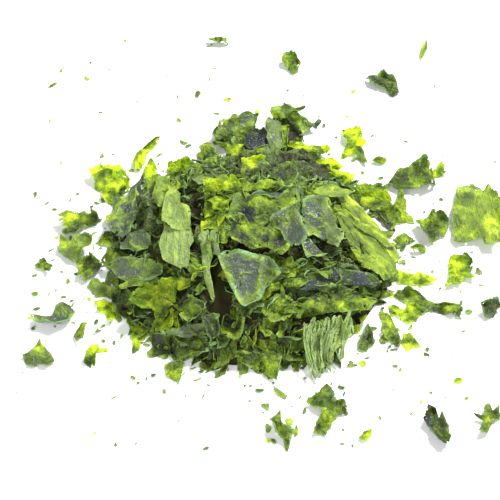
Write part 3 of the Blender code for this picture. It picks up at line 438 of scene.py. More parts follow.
RIGHT_SIDE: dict[str, Seen | Flake] = {
    "blade_bright": Seen(Kind.BLADE, -51, 2.4, (0, -12), folds=((0.5, 90, -30, 2),), wave=0.4, seed=71,
        corners=((334, 189), (348, 193), (358, 202), (368, 211), (378, 222), (388, 234), (397, 246),
                 (402, 252), (399, 262), (391, 262), (385, 250), (376, 240), (366, 229), (356, 219),
                 (348, 209), (341, 201)),
        blots=((388, 254, 9, 9, -0.2, 0.2), (352, 200, 8, 5, -0.1, 0.14),
               (372, 226, 4, 12, -0.1, 0.12), (389, 247, 2, 5, 0, -0.4)),
        ridge_shading=((343, 192, 387, 233, 0.9, 0.5, 0.9), (350, 206, 390, 247, 0.7, -0.5, -0.9),
               (380, 236, 388, 248, 0.6, -0.6, -1), (362, 212, 396, 248, 0.5, 0.3, 0.7))),
    "blade_pale": Seen(Kind.BLADE, -50, 1.8, (0, 4), folds=((0.5, 270, -35, 3), (0.7, 0, -15, 4)),
        wave=0.6, seed=72,
        corners=((326, 197), (333, 202), (342, 204), (350, 212), (354, 222), (362, 221), (373, 230),
                 (385, 245), (394, 258), (398, 270), (393, 277), (385, 280), (377, 274), (370, 269),
                 (362, 264), (357, 255), (352, 248), (348, 240), (344, 232), (341, 225), (339, 216),
                 (332, 207)),
        blots=((376, 262, 9, 8, -0.2, 0.12), (366, 233, 8, 9, 0.15, -0.1),
               (349, 222, 3, 9, 0.1, -0.18), (388, 279, 7, 4, 0.3, -0.15),
               (352, 236, 6, 10, 0.1, -0.05)),
        ridge_shading=((333, 203, 356, 240, 0.6, -0.4, -0.8), (355, 244, 376, 258, 0.6, -0.5, -1),
               (350, 225, 392, 268, 0.6, 0.3, 0.6), (362, 240, 388, 274, 0.5, 0.3, 0.5),
               (327, 198, 345, 216, 0.7, 0.4, 0.9))),
    "blade_tip": Seen(Kind.MIDDLE, -70, 1.6, (0, 4), folds=((0.5, 0, -15, 3),), wave=0.6, seed=73,
        corners=((383, 266), (392, 264), (399, 270), (398, 280), (392, 284), (385, 281))),
    "right_fan": Seen(Kind.LIME, -18, 1.8, (0, 16), folds=((0.4, 90, -35, 2),), wave=0.7, seed=74,
        corners=((324, 177), (328, 170), (336, 168), (345, 170), (352, 174), (358, 179), (350, 181),
                 (340, 180), (331, 181))),
    "under_fan": Seen(Kind.GREY, 10, 1.4, (0, 12), folds=((0.4, 0, -30, 2),), wave=0.7, seed=75,
        corners=((334, 184), (340, 181), (350, 182), (362, 178), (356, 186), (350, 193), (342, 194),
                 (336, 190))),
    "lime_sheet": Seen(Kind.YELLOW, -7, 1.1, (0, 8), folds=((0.4, 40, 35, 3),), wave=1.3, seed=76,
        corners=((349, 193), (355, 186), (365, 186), (375, 182), (384, 184), (389, 191), (390, 199),
                 (392, 207), (382, 208), (371, 212), (361, 204), (354, 199))),
    "green_ragged": Seen(Kind.OLIVE, 66, 1.4, (8, 6), folds=((0.4, 90, 40, 2), (0.4, 300, 45, 2)),
        wave=1.4, seed=77,
        corners=((383, 208), (391, 204), (396, 198), (399, 190), (403, 191), (407, 200), (406, 209),
                 (410, 217), (411, 224), (404, 223), (397, 225), (392, 231), (387, 222), (383, 214))),
    # A near-black flap, painted shade.
    "black_flap": Seen(Kind.BLACK, -53, 0.8, (0, 12), wave=0.5, seed=78,
        corners=((369, 210), (380, 208), (386, 213), (393, 221), (395, 231), (390, 232), (383, 222),
                 (375, 217))),
    "small_arch": Seen(Kind.MIDDLE, 25, 1, (0, 0), folds=((0.3, 0, -40, 3), (0.4, 180, -35, 3)), wave=0.6,
        seed=79,
        corners=((390, 239), (397, 235), (403, 231), (411, 232), (417, 235), (413, 240), (407, 243),
                 (405, 250), (400, 250), (395, 244))),
    "wide_dark_sheet": Seen(Kind.SLATE, 13, 1, (0, 6), folds=((0.4, 90, 35, 3), (0.7, 180, -20, 4)),
        wave=0.9, seed=80,
        corners=((290, 285), (300, 276), (312, 271), (330, 267), (350, 269), (366, 273), (384, 282),
                 (374, 288), (355, 284), (335, 284), (318, 288), (305, 292)),
        blots=((345, 276, 20, 4, 0.5, -0.05), (305, 282, 10, 4, 0.2, 0.05))),
    "front_right": Seen(Kind.MIDDLE, 16, 1.2, (0, 8), folds=((0.4, 90, 30, 3),), wave=1.1, seed=81,
        corners=((283, 300), (300, 288), (320, 284), (345, 286), (366, 292), (378, 300), (370, 310),
                 (350, 312), (325, 312), (300, 318), (285, 312))),
    "right_lime": Seen(Kind.LIME, -7, 1.2, (4, 8), folds=((0.4, 0, 15, 4),), wave=0.9, seed=82,
        corners=((396, 267), (405, 271), (414, 273), (418, 270), (426, 272), (433, 276), (440, 279),
                 (432, 281), (426, 284), (420, 288), (414, 285), (405, 284), (397, 284))),
    "right_strip": Seen(Kind.MIDDLE, -31, 1, (0, 10), folds=((0.3, 90, 30, 3), (0.5, 0, 12, 4)), wave=0.9,
        seed=83,
        corners=((397, 288), (404, 286), (412, 288), (420, 293), (427, 299), (436, 303), (446, 306),
                 (455, 305), (460, 305), (462, 312), (461, 318), (455, 315), (450, 315), (444, 320),
                 (440, 314), (432, 312), (424, 311), (417, 306), (411, 302), (404, 304), (396, 300),
                 (392, 297))),
    "right_lime_low": Seen(Kind.LIME, 0, 0.8, (0, 0), folds=((0.4, 60, 30, 2),), wave=0.9, seed=84,
        corners=((392, 310), (399, 309), (405, 311), (408, 305), (415, 304), (421, 308), (428, 311),
                 (421, 314), (415, 320), (407, 323), (400, 317))),
    "right_low": Seen(Kind.MIDDLE, -66, 1, (0, 6), folds=((0.4, 0, 25, 3),), seed=85,
        corners=((378, 311), (388, 311), (393, 319), (397, 330), (401, 340), (401, 351), (394, 343),
                 (384, 338), (380, 331), (382, 321))),
    "dark_curl": Seen(Kind.DARK, 74, 1, (10, 0), folds=((0.4, 0, 60, 2),), wave=0.4, seed=86,
        corners=((356, 350), (357, 342), (361, 333), (366, 330), (373, 332), (376, 338), (374, 344),
                 (369, 347), (367, 351), (361, 352))),
    "right_tip": Seen(Kind.LIME, 0, 0.6, (0, 6), folds=((0.3, 90, 30, 2),), wave=0.5, seed=87,
        corners=((403, 335), (410, 332), (415, 338), (421, 346), (412, 348), (406, 352), (402, 343))),
    "blade_middle": Seen(Kind.BLADE, -50, 3, (0, -4), folds=((0.4, 90, 30, 1.5), (0.5, 270, -25, 2)),
        wave=0.4, seed=88,
        corners=((341, 204), (348, 203), (355, 212), (363, 220), (374, 226), (384, 236), (390, 247),
                 (385, 248), (376, 238), (364, 231), (354, 223), (347, 214)),
        blots=((366, 232, 8, 8, 0.1, -0.06),),
        ridge_shading=((345, 206, 366, 222, 0.9, -0.6, -1), (350, 214, 385, 240, 0.7, 0.4, 0.8),
               (352, 222, 378, 243, 0.5, 0.3, 0.6))),
}

FRONT: dict[str, Seen | Flake] = {
    "cup_flake": Seen(Kind.CUPPED, -21, 2.6, (4, -2),
        folds=((0.62, 25, 40, 3), (0.7, 300, 35, 3), (0.72, 180, 30, 3), (0.72, 100, 25, 3)), wave=0.4,
        seed=91,
        corners=((215, 257), (224, 251), (240, 250), (252, 254), (262, 254), (271, 258), (277, 264),
                 (281, 271), (283, 276), (274, 281), (266, 289), (261, 299), (256, 308), (247, 312),
                 (241, 309), (236, 298), (229, 281), (222, 266)),
        blots=((243, 277, 12, 17, 0.75, -0.05), (237, 260, 10, 6, 0.6, -0.06),
               (256, 291, 9, 4, 0.5, -0.06), (269, 268, 10, 8, 0.2, -0.02),
               (253, 303, 11, 4, -0.2, 0.04)),
        ridge_shading=((219, 258, 241, 305, 1.5, 0.3, 0.9), (229, 262, 250, 264, 0.8, -0.4, -0.7),
               (263, 258, 257, 296, 0.9, 0.4, 0.8), (253, 255, 281, 276, 1.1, 0.3, 0.8),
               (262, 290, 280, 279, 0.9, -0.3, -0.6), (240, 273, 250, 272, 0.5, 0.3, 1))),
    "cup_prop": Flake(Kind.DARK, (1, -29), (15, 9), 60, 0.9, (6, 22), folds=((0.5, 90, 30, 3),),
        outline=Outline.SLAB, wave=0.6, seed=109),
    "curved_slip": Seen(Kind.OLIVE, 53, 1.6, (0, 24), wave=0.3, seed=92, bow=-1.5,
        corners=((262, 300), (266, 290), (273, 283), (282, 278), (285, 284), (278, 288), (271, 293),
                 (265, 300))),
    "yellow_tab": Seen(Kind.OLIVE, 73, 1, (0, 0), folds=((0.4, 0, 30, 2),), wave=0.4, seed=93,
        corners=((278, 259), (286, 258), (293, 258), (296, 264), (293, 270), (286, 274), (280, 270),
                 (277, 264))),
    "front_olive": Seen(Kind.OLIVE, 15, 0.9, (0, 6), folds=((0.4, 90, 45, 2), (0.4, 270, -30, 2)),
        wave=1.1, seed=94,
        corners=((262, 300), (275, 296), (288, 298), (297, 304), (293, 314), (282, 322), (270, 321),
                 (262, 312))),
    "block_dark": Seen(Kind.DARK, 5, 0.9, (0, 10), folds=((0.4, 90, 35, 2),), wave=0.7, seed=95,
        corners=((278, 338), (290, 334), (303, 336), (302, 346), (290, 350), (278, 350))),
    "dark_cup_low": Seen(Kind.MIDDLE, -85, 1.2, (0, 0), folds=((0.4, 90, 45, 2), (0.4, 270, 40, 2)),
        wave=0.4, seed=96,
        corners=((221, 318), (228, 313), (238, 315), (245, 317), (243, 328), (240, 338), (233, 340),
                 (226, 333), (222, 326)),
        blots=((233, 326, 7, 8, 0.3, -0.35),),
        ridge_shading=((222, 320, 233, 340, 1.2, 0.2, 0.9), (239, 339, 244, 318, 1.2, 0.2, 0.9))),
    "bottom_strip": Seen(Kind.SATIN, -86, 0.9, (0, 0), wave=0.4, seed=97,
        corners=((218, 352), (221, 345), (227, 344), (230, 350), (229, 362), (222, 366), (217, 361))),
    "bottom_sliver": Seen(Kind.TEAL, -85, 0.7, (0, 0), wave=0.3, seed=98,
        corners=((236, 362), (240, 358), (245, 364), (244, 374), (240, 378), (238, 371))),
    "grey_low": Seen(Kind.GREY, 0, 0.9, (0, 6), folds=((0.4, 90, 35, 2),), wave=1, seed=99,
        corners=((234, 352), (242, 349), (250, 351), (256, 355), (262, 360), (259, 365), (252, 369),
                 (246, 366), (240, 361))),
    "olive_sheet": Seen(Kind.OLIVE, -87, 1, (0, 0), folds=((0.4, 90, 30, 2),), seed=100,
        corners=((258, 350), (261, 336), (258, 325), (268, 322), (274, 335), (278, 350), (281, 365),
                 (282, 374), (278, 379), (270, 378), (263, 374), (265, 364))),
    "low_dark": Seen(Kind.DARK, 14, 0.7, (0, 0), folds=((0.4, 0, 35, 2),), wave=0.9, seed=101,
        corners=((279, 358), (290, 354), (300, 354), (302, 362), (292, 366), (284, 371), (279, 367))),
    "fibre_bundle": Seen(Kind.DARK, -78, -1.2, (0, 0), folds=((0.4, 90, -25, 3), (0.4, 270, -25, 3)),
        wave=0.9, seed=102,
        corners=((304, 338), (314, 325), (325, 319), (338, 320), (349, 318), (350, 331), (345, 345),
                 (340, 360), (330, 367), (327, 378), (320, 381), (313, 376), (310, 364), (304, 353))),
    "slate_slat": Seen(Kind.TEAL, 2, 1.3, (0, 12), folds=((0.4, 90, 35, 2),), wave=0.7, seed=103,
        corners=((160, 331), (170, 330), (180, 328), (195, 324), (205, 322), (204, 330), (206, 335),
                 (196, 339), (182, 337), (172, 335), (163, 335))),
    "bottom_leaf": Seen(Kind.DARK, -2, 1.2, (0, 4), folds=((0.5, 90, 30, 3), (0.7, 200, -20, 3)),
        wave=0.9, seed=104,
        corners=((144, 347), (147, 338), (158, 334), (170, 334), (181, 336), (192, 338), (205, 336),
                 (211, 345), (208, 352), (198, 355), (188, 358), (183, 362), (175, 361), (170, 356),
                 (160, 357), (150, 358), (145, 352)),
        blots=((190, 345, 10, 6, 0.2, -0.08), (158, 350, 8, 5, 0, -0.05)),
        ridge_shading=((165, 336, 170, 358, 0.7, 0.5, 0.7), (176, 335, 178, 360, 0.6, 0.4, 0.6),
               (189, 337, 192, 355, 0.6, 0.4, 0.6), (171, 338, 173, 358, 0.7, -0.4, -0.8),
               (184, 338, 186, 357, 0.6, -0.4, -0.7))),
    "bottom_yellow": Seen(Kind.LIME, 66, 1, (0, 4), folds=((0.4, 180, 25, 3),), wave=0.6, seed=105,
        corners=((132, 326), (140, 322), (149, 321), (151, 330), (147, 337), (142, 342), (140, 348),
                 (133, 352), (127, 351), (133, 344), (132, 335)),
        ridge_shading=((150, 336, 132, 351, 0.5, -0.3, -0.6), (149, 331, 135, 340, 0.5, -0.3, -0.5),
               (148, 326, 140, 330, 0.4, 0.2, 0.5))),
    "bottom_bud": Seen(Kind.OLIVE, 12, 0.6, (0, 0), folds=((0.4, 90, 40, 2),), seed=106,
        corners=((165, 366), (172, 363), (184, 361), (184, 369), (182, 377), (178, 382), (172, 379),
                 (166, 377))),
    "left_fold": Seen(Kind.MIDDLE, -10, 1.2, (0, 14), folds=((0.4, 90, 50, 2),), wave=1.1, seed=107,
        corners=((176, 305), (182, 299), (192, 298), (203, 300), (205, 308), (199, 316), (190, 322),
                 (182, 319), (178, 312))),
    "pit_fold": Seen(Kind.DARK, 70, 0.6, (0, 14), folds=((0.4, 90, 45, 2),), wave=0.9, seed=108,
        corners=((205, 318), (212, 313), (220, 318), (221, 328), (218, 337), (211, 341), (206, 333),
                 (203, 325))),
}

STRAYS: dict[str, Seen | Flake] = {
    "top_dark": Seen(Kind.DARK, -25, 2.2, (0, 6), folds=((0.4, 90, 35, 3), (0.5, 0, -25, 3)), wave=1,
        seed=121,
        corners=((366, 76), (374, 72), (383, 70), (390, 76), (398, 82), (400, 90), (393, 95),
                 (385, 88), (377, 86), (369, 82))),
    "top_green": Seen(Kind.MIDDLE, -48, 1.5, (0, 8), folds=((0.3, 90, 45, 2),), wave=0.5, seed=122,
        corners=((283, 57), (289, 56), (295, 57), (298, 63), (301, 69), (297, 74), (291, 73),
                 (287, 68), (281, 64))),
    "top_strip": Seen(Kind.OLIVE, 0, 1.5, (4, 0), folds=((0.2, 0, -25, 3),), wave=0.4, seed=123,
        corners=((206, 40), (213, 38), (222, 38), (231, 38), (231, 42), (222, 44), (213, 43))),
    "top_sliver": Flake(Kind.SATIN, (59, 88), (9, 2.4), 74, 4, (0, 0), folds=((0.2, 0, 20, 3),),
        outline=Outline.BLADE, wave=0.4, seed=124),
    "lime_scrap": Seen(Kind.LIME, 60, 2.2, (0, 4), folds=((0.4, 0, 40, 3), (0.3, 90, -35, 2)), wave=1,
        seed=125,
        corners=((340, 125), (344, 129), (361, 128), (362, 137), (367, 144), (359, 150), (350, 153),
                 (340, 156), (332, 153), (343, 146), (348, 142), (341, 133))),
    "slate_flake": Seen(Kind.MOTTLED, 30, 2.2, (0, 6), folds=((0.5, 90, -40, 3), (0.5, 250, -40, 3)),
        wave=1.1, seed=126,
        corners=((385, 183), (392, 176), (399, 171), (404, 166), (411, 163), (415, 158), (421, 157),
                 (426, 162), (429, 171), (430, 180), (437, 180), (436, 186), (430, 188), (421, 190),
                 (412, 191), (400, 190), (392, 186))),
    "lime_bit": Seen(Kind.LIME, 48, 1.5, (6, 0), folds=((0.3, 90, 30, 2),), wave=0.4, seed=127,
        corners=((432, 173), (438, 168), (441, 162), (446, 164), (444, 170), (448, 172), (440, 176),
                 (434, 176))),
    "hollow_curl": Seen(Kind.MIDDLE, -10, 2.2, (0, 8), folds=((0.4, 60, 60, 3), (0.4, 240, 55, 3)),
        seed=128,
        corners=((414, 222), (420, 219), (428, 217), (432, 211), (437, 214), (444, 215), (449, 227),
                 (447, 234), (438, 238), (433, 241), (425, 238), (421, 233), (419, 227))),
    "big_lime": Seen(Kind.BLADE, -84, 2.2, (0, 4), folds=((0.5, 90, 35, 3), (0.6, 180, -30, 4)), wave=1.2,
        seed=129,
        corners=((452, 236), (452, 222), (453, 205), (456, 196), (456, 180), (466, 181), (473, 182),
                 (475, 190), (484, 192), (487, 186), (492, 190), (500, 199), (506, 215), (504, 235),
                 (500, 246), (484, 247), (482, 240), (470, 240), (458, 243)),
        blots=((470, 200, 8, 6, 0.1, -0.12), (493, 222, 8, 16, 0, 0.2), (466, 242, 12, 4, 0, 0.2),
               (463, 190, 8, 4, 0, 0.15))),
    "green_kite": Seen(Kind.YELLOW, -66, 2.2, (0, 6), folds=((0.3, 90, 45, 3),), seed=130,
        corners=((444, 285), (450, 279), (449, 270), (448, 262), (452, 254), (458, 256), (465, 255),
                 (468, 262), (467, 270), (474, 278), (470, 285), (464, 276), (461, 281), (456, 284)),
        blots=((433, 225, 8, 6, 0.3, -0.15),)),
    "edge_dark": Seen(Kind.DARK, 13, 1.5, (4, 0), folds=((0.3, 90, 40, 2),), wave=0.5, seed=131,
        corners=((479, 307), (485, 305), (492, 303), (498, 301), (503, 306), (497, 309), (493, 315),
                 (486, 317), (481, 313))),
    "edge_green": Seen(Kind.MIDDLE, 57, 2.2, (0, 0), folds=((0.3, 90, 45, 2), (0.5, 0, -25, 3)), wave=0.6,
        seed=132,
        corners=((479, 432), (482, 424), (485, 419), (476, 415), (485, 414), (487, 405), (492, 400),
                 (493, 408), (500, 401), (502, 416), (493, 418), (491, 426), (487, 431))),
    "dark_clump": Seen(Kind.DARK, -66, 2.2, (0, 6), folds=((0.3, 0, 55, 2), (0.3, 180, 50, 2)), wave=1,
        seed=133,
        corners=((425, 421), (428, 414), (430, 409), (437, 413), (440, 417), (444, 412), (448, 424),
                 (449, 433), (451, 439), (444, 437), (440, 440), (433, 436), (429, 430))),
    "low_long": Seen(Kind.MIDDLE, -25, 2.2, (0, 6), folds=((0.3, 90, 50, 2),), seed=134,
        corners=((306, 400), (313, 396), (318, 393), (323, 390), (330, 393), (336, 399), (343, 401),
                 (349, 409), (346, 412), (338, 412), (328, 410), (318, 408), (311, 405))),
    "low_leaf": Seen(Kind.MIDDLE, 48, 1.5, (4, 0), folds=((0.3, 90, 40, 2),), wave=0.6, seed=135,
        corners=((312, 434), (314, 427), (319, 421), (320, 412), (328, 413), (336, 415), (337, 420),
                 (331, 424), (327, 429), (326, 434), (320, 433))),
    "low_cluster": Seen(Kind.MIDDLE, -57, 2.2, (0, 4), folds=((0.3, 90, 45, 2), (0.3, 270, 30, 2)),
        wave=1, seed=136,
        corners=((266, 423), (273, 420), (278, 410), (282, 417), (281, 424), (287, 426), (292, 432),
                 (291, 441), (288, 448), (282, 447), (284, 440), (279, 436), (275, 433), (271, 429))),
    "bean_curl": Seen(Kind.CUPPED, 7, 2.2, (0, 0), folds=((0.3, 90, 60, 2), (0.3, 270, 50, 2)), seed=137,
        corners=((30, 314), (35, 310), (41, 314), (50, 314), (56, 308), (63, 304), (70, 306),
                 (75, 312), (71, 321), (63, 325), (56, 328), (46, 326), (38, 324), (33, 322)),
        blots=((34, 316, 4, 4, -0.2, 0.2), (72, 313, 3, 5, -0.2, 0.2), (55, 316, 8, 5, 0.4, -0.05))),
    "kite_left": Seen(Kind.SATIN, -13, 1.5, (0, 4), folds=((0.3, 60, 40, 3),), wave=0.7, seed=138,
        corners=((22, 354), (28, 350), (34, 347), (39, 341), (45, 347), (50, 355), (54, 360),
                 (49, 366), (40, 364), (32, 366), (26, 365), (23, 360)),
        blots=((40, 345, 6, 4, 0, 0.2), (35, 356, 11, 4, 0.4, -0.15), (32, 364, 7, 2, 0, 0.25))),
    "bud_left": Seen(Kind.MIDDLE, -37, 1.5, (6, 0), folds=((0.3, 0, 30, 2),), wave=0.4, seed=139,
        corners=((73, 333), (76, 329), (83, 328), (88, 330), (85, 336), (81, 342), (76, 338))),
    "bud_low": Seen(Kind.YELLOW, 74, 1.5, (0, 0), folds=((0.3, 90, 45, 2),), wave=0.4, seed=140,
        corners=((87, 362), (88, 354), (93, 347), (98, 345), (100, 350), (97, 356), (95, 364),
                 (90, 366))),
    "bit_left": Seen(Kind.MIDDLE, -37, 1.5, (0, 4), folds=((0.3, 0, 40, 2),), wave=0.5, seed=141,
        corners=((33, 266), (39, 262), (38, 256), (44, 256), (47, 263), (53, 267), (50, 274),
                 (46, 270), (40, 267))),
    "small_right": Seen(Kind.MIDDLE, 10, 1.5, (0, 0), folds=((0.3, 90, 45, 2),), wave=0.5, seed=142,
        corners=((409, 248), (416, 246), (424, 246), (428, 250), (422, 252), (415, 250))),
    "lime_dash": Flake(Kind.YELLOW, (41, 36), (6, 2.5), 0, 4, (6, 0), folds=((0.2, 0, -20, 2),),
        outline=Outline.BLADE, wave=0.3, seed=143),
    "green_dash": Flake(Kind.SATIN, (35, 38), (7, 2.5), -62, 4, (4, 0), folds=((0.2, 0, 25, 2),),
        outline=Outline.BLADE, wave=0.3, seed=144),
    "left_island": Seen(Kind.OLIVE, 13, 2.2, (0, 4), folds=((0.3, 0, 50, 2), (0.4, 180, 35, 2)), wave=0.9,
        seed=145,
        corners=((62, 226), (60, 218), (66, 213), (74, 210), (84, 211), (90, 216), (96, 214),
                 (101, 218), (96, 222), (88, 224), (80, 230), (74, 236), (66, 236), (64, 230)),
        blots=((73, 215, 7, 4, 0, 0.3), (66, 222, 4, 5, 0, 0.1), (71, 229, 7, 4, 0.3, -0.15),
               (95, 217, 7, 4, 0.2, -0.15))),
    "left_island_low": Seen(Kind.SATIN, -13, 2.2, (0, 4), folds=((0.3, 0, 50, 2), (0.4, 90, 35, 2)),
        wave=0.9, seed=146,
        corners=((58, 249), (59, 240), (62, 236), (70, 240), (76, 236), (84, 234), (92, 238),
                 (90, 246), (84, 251), (78, 257), (72, 260), (65, 256)),
        blots=((62, 239, 4, 4, 0, 0.25), (74, 247, 8, 7, 0.3, -0.12))),
    "left_crumb": Seen(Kind.MIDDLE, 25, 1.5, (0, 4), folds=((0.3, 0, 50, 2), (0.3, 180, 40, 2)), wave=0.9,
        seed=148,
        corners=((79, 276), (80, 266), (77, 260), (84, 255), (92, 254), (98, 259), (101, 266),
                 (97, 273), (92, 278), (85, 282)),
        blots=((93, 267, 8, 8, 0.1, -0.08), (80, 262, 3, 6, 0, 0.2))),
    "low_chip": Flake(Kind.LIME, (31, -66), (4, 3), 37, 4, (6, 0), outline=Outline.KITE, wave=0.3,
        seed=147),
}

# The larger crumbs that can be told apart in the photograph
BITS = (
    Bit(Kind.OLIVE, 48, 203, 6, 4, 20), Bit(Kind.MIDDLE, 55, 209, 6, 3, 0),
    Bit(Kind.MIDDLE, 35, 195, 6, 3, 80), Bit(Kind.OLIVE, 78, 194, 3, 3, 0),
    Bit(Kind.MIDDLE, 50, 251, 3, 2, 0), Bit(Kind.SATIN, 54, 260, 4, 2, 20),
    Bit(Kind.LIME, 35, 275, 7, 3, 10), Bit(Kind.OLIVE, 68, 282, 4, 3, 40),
    Bit(Kind.MIDDLE, 65, 297, 4, 3, 0), Bit(Kind.OLIVE, 34, 294, 6, 5, -20),
    Bit(Kind.MIDDLE, 35, 309, 7, 3, 0), Bit(Kind.LIME, 31, 317, 3, 3, 0),
    Bit(Kind.DARK, 33, 328, 4, 3, 70), Bit(Kind.OLIVE, 102, 157, 4, 3, 30),
    Bit(Kind.MIDDLE, 113, 154, 3, 2, 0), Bit(Kind.OLIVE, 159, 155, 6, 4, 20),
    Bit(Kind.SATIN, 184, 143, 9, 3, -10), Bit(Kind.MIDDLE, 197, 94, 10, 5, 85),
    Bit(Kind.LIME, 228, 100, 10, 5, 5), Bit(Kind.OLIVE, 210, 80, 4, 2, 80),
    Bit(Kind.MIDDLE, 204, 58, 2, 2, 0), Bit(Kind.OLIVE, 288, 90, 3, 3, 0),
    Bit(Kind.DARK, 303, 96, 4, 3, 20), Bit(Kind.SATIN, 216, 113, 6, 3, 0),
    Bit(Kind.SATIN, 304, 411, 6, 4, 70), Bit(Kind.MIDDLE, 265, 405, 9, 3, 10),
    Bit(Kind.SATIN, 281, 393, 14, 6, -40), Bit(Kind.LIME, 290, 422, 7, 6, 0),
    Bit(Kind.OLIVE, 297, 430, 10, 3, 80), Bit(Kind.MIDDLE, 342, 443, 3, 2, 0),
    Bit(Kind.OLIVE, 342, 431, 4, 2, 0), Bit(Kind.DARK, 343, 388, 7, 3, 0),
    Bit(Kind.DARK, 345, 393, 5, 2, 70), Bit(Kind.OLIVE, 433, 205, 4, 2, 0),
    Bit(Kind.LIME, 467, 398, 4, 3, 10), Bit(Kind.LIME, 421, 402, 3, 3, 0),
    Bit(Kind.OLIVE, 412, 413, 4, 2, 30), Bit(Kind.MIDDLE, 478, 271, 7, 7, 0),
    Bit(Kind.OLIVE, 479, 284, 3, 2, 0), Bit(Kind.MIDDLE, 472, 252, 3, 2, 0),
    Bit(Kind.DARK, 440, 261, 2, 2, 0), Bit(Kind.OLIVE, 432, 271, 4, 3, 0),
    Bit(Kind.GREY, 402, 262, 6, 5, 20), Bit(Kind.GREY, 398, 258, 5, 3, 60),
    Bit(Kind.GREY, 405, 264, 4, 3, 10), Bit(Kind.MIDDLE, 468, 311, 8, 6, 10),
    Bit(Kind.OLIVE, 464, 331, 6, 2, 10), Bit(Kind.DARK, 425, 354, 5, 4, -40),
    Bit(Kind.DARK, 389, 347, 4, 3, 30), Bit(Kind.MIDDLE, 98, 331, 7, 4, 20),
    Bit(Kind.OLIVE, 104, 341, 3, 3, 0), Bit(Kind.OLIVE, 122, 337, 3, 3, 0),
    Bit(Kind.LIME, 103, 350, 10, 6, 10), Bit(Kind.LIME, 97, 348, 5, 4, 60),
    Bit(Kind.OLIVE, 133, 378, 6, 3, -30), Bit(Kind.MIDDLE, 138, 383, 4, 2, 20),
    Bit(Kind.DARK, 202, 371, 7, 4, 20), Bit(Kind.LIME, 192, 369, 8, 2, 20),
    Bit(Kind.OLIVE, 196, 381, 6, 2, 0), Bit(Kind.LIME, 240, 377, 3, 2, 70),
    Bit(Kind.OLIVE, 395, 366, 3, 6, 80), Bit(Kind.LIME, 400, 370, 3, 3, 0),
    Bit(Kind.LIME, 459, 381, 8, 6, 20), Bit(Kind.OLIVE, 352, 365, 12, 3, 5),
    Bit(Kind.YELLOW, 362, 362, 6, 5, 10), Bit(Kind.SATIN, 410, 327, 8, 4, 40),
    Bit(Kind.DARK, 426, 349, 5, 3, -40), Bit(Kind.DARK, 391, 349, 3, 3, 40),
    Bit(Kind.LIME, 356, 330, 8, 6, 60), Bit(Kind.YELLOW, 362, 322, 8, 5, 100),
)


@dataclass(frozen=True)
class HeapForm:
    """The heap's smooth form, on which every flake is laid."""

    middle: Vector = field(default_factory=lambda: Vector((0.0, -3.0)))
    high: float = 23.0
    rim_radii: tuple[float, ...] = (42.0, 41.0, 42.0, 38.0, 38.0, 42.0, 42.0, 43.0, 42.0, 41.0, 41.0, 42.0)
    shoulder: float = 2.6
    step: float = 1.5

    def rim(self, angle: float) -> float:
        """Radius of the rim in a direction, smooth from one named radius to the next.

        Args:
            angle: the direction in plan, in radians.

        Returns:
            The radius in millimetres.
        """
        count = len(self.rim_radii)
        place = (angle % math.tau) / math.tau * count
        first = int(place) % count
        share = (1.0 - math.cos(math.pi * (place - int(place)))) / 2.0
        return self.rim_radii[first] * (1.0 - share) + self.rim_radii[(first + 1) % count] * share

    def spot(self, angle: float, share: float) -> tuple[float, float]:
        """Point in plan at a share of the rim's radius in a direction."""
        out = share * self.rim(angle)
        return self.middle.x + out * math.cos(angle), self.middle.y + out * math.sin(angle)

    def height(self, x: float, y: float) -> float:
        """Height of the form over a point in plan."""
        away = Vector((x, y)) - self.middle
        share = away.length / self.rim(math.atan2(away.y, away.x))
        return self.high * max(0.0, 1.0 - share ** self.shoulder)

    def normal(self, x: float, y: float) -> Vector:
        """Direction straight out of the form."""
        along_x = self.height(x + self.step, y) - self.height(x - self.step, y)
        along_y = self.height(x, y + self.step) - self.height(x, y - self.step)
        return Vector((-along_x, -along_y, 2.0 * self.step)).normalized()

    def place(self, flake: Flake) -> Matrix:
        """The flake's own frame: turned, tilted and leaning with the heap's slope."""
        x, y = flake.at
        pitch, roll = (math.radians(angle) for angle in flake.tilt)
        lean = Matrix.Rotation(roll, 4, "X") @ Matrix.Rotation(-pitch, 4, "Y")
        turned = Matrix.Rotation(math.radians(flake.turn), 4, "Z") @ lean
        out = UP.lerp(self.normal(x, y), flake.slope)
        slope = UP.rotation_difference(out).to_matrix().to_4x4()
        return Matrix.Translation((x, y, self.height(x, y) + flake.lift)) @ slope @ turned


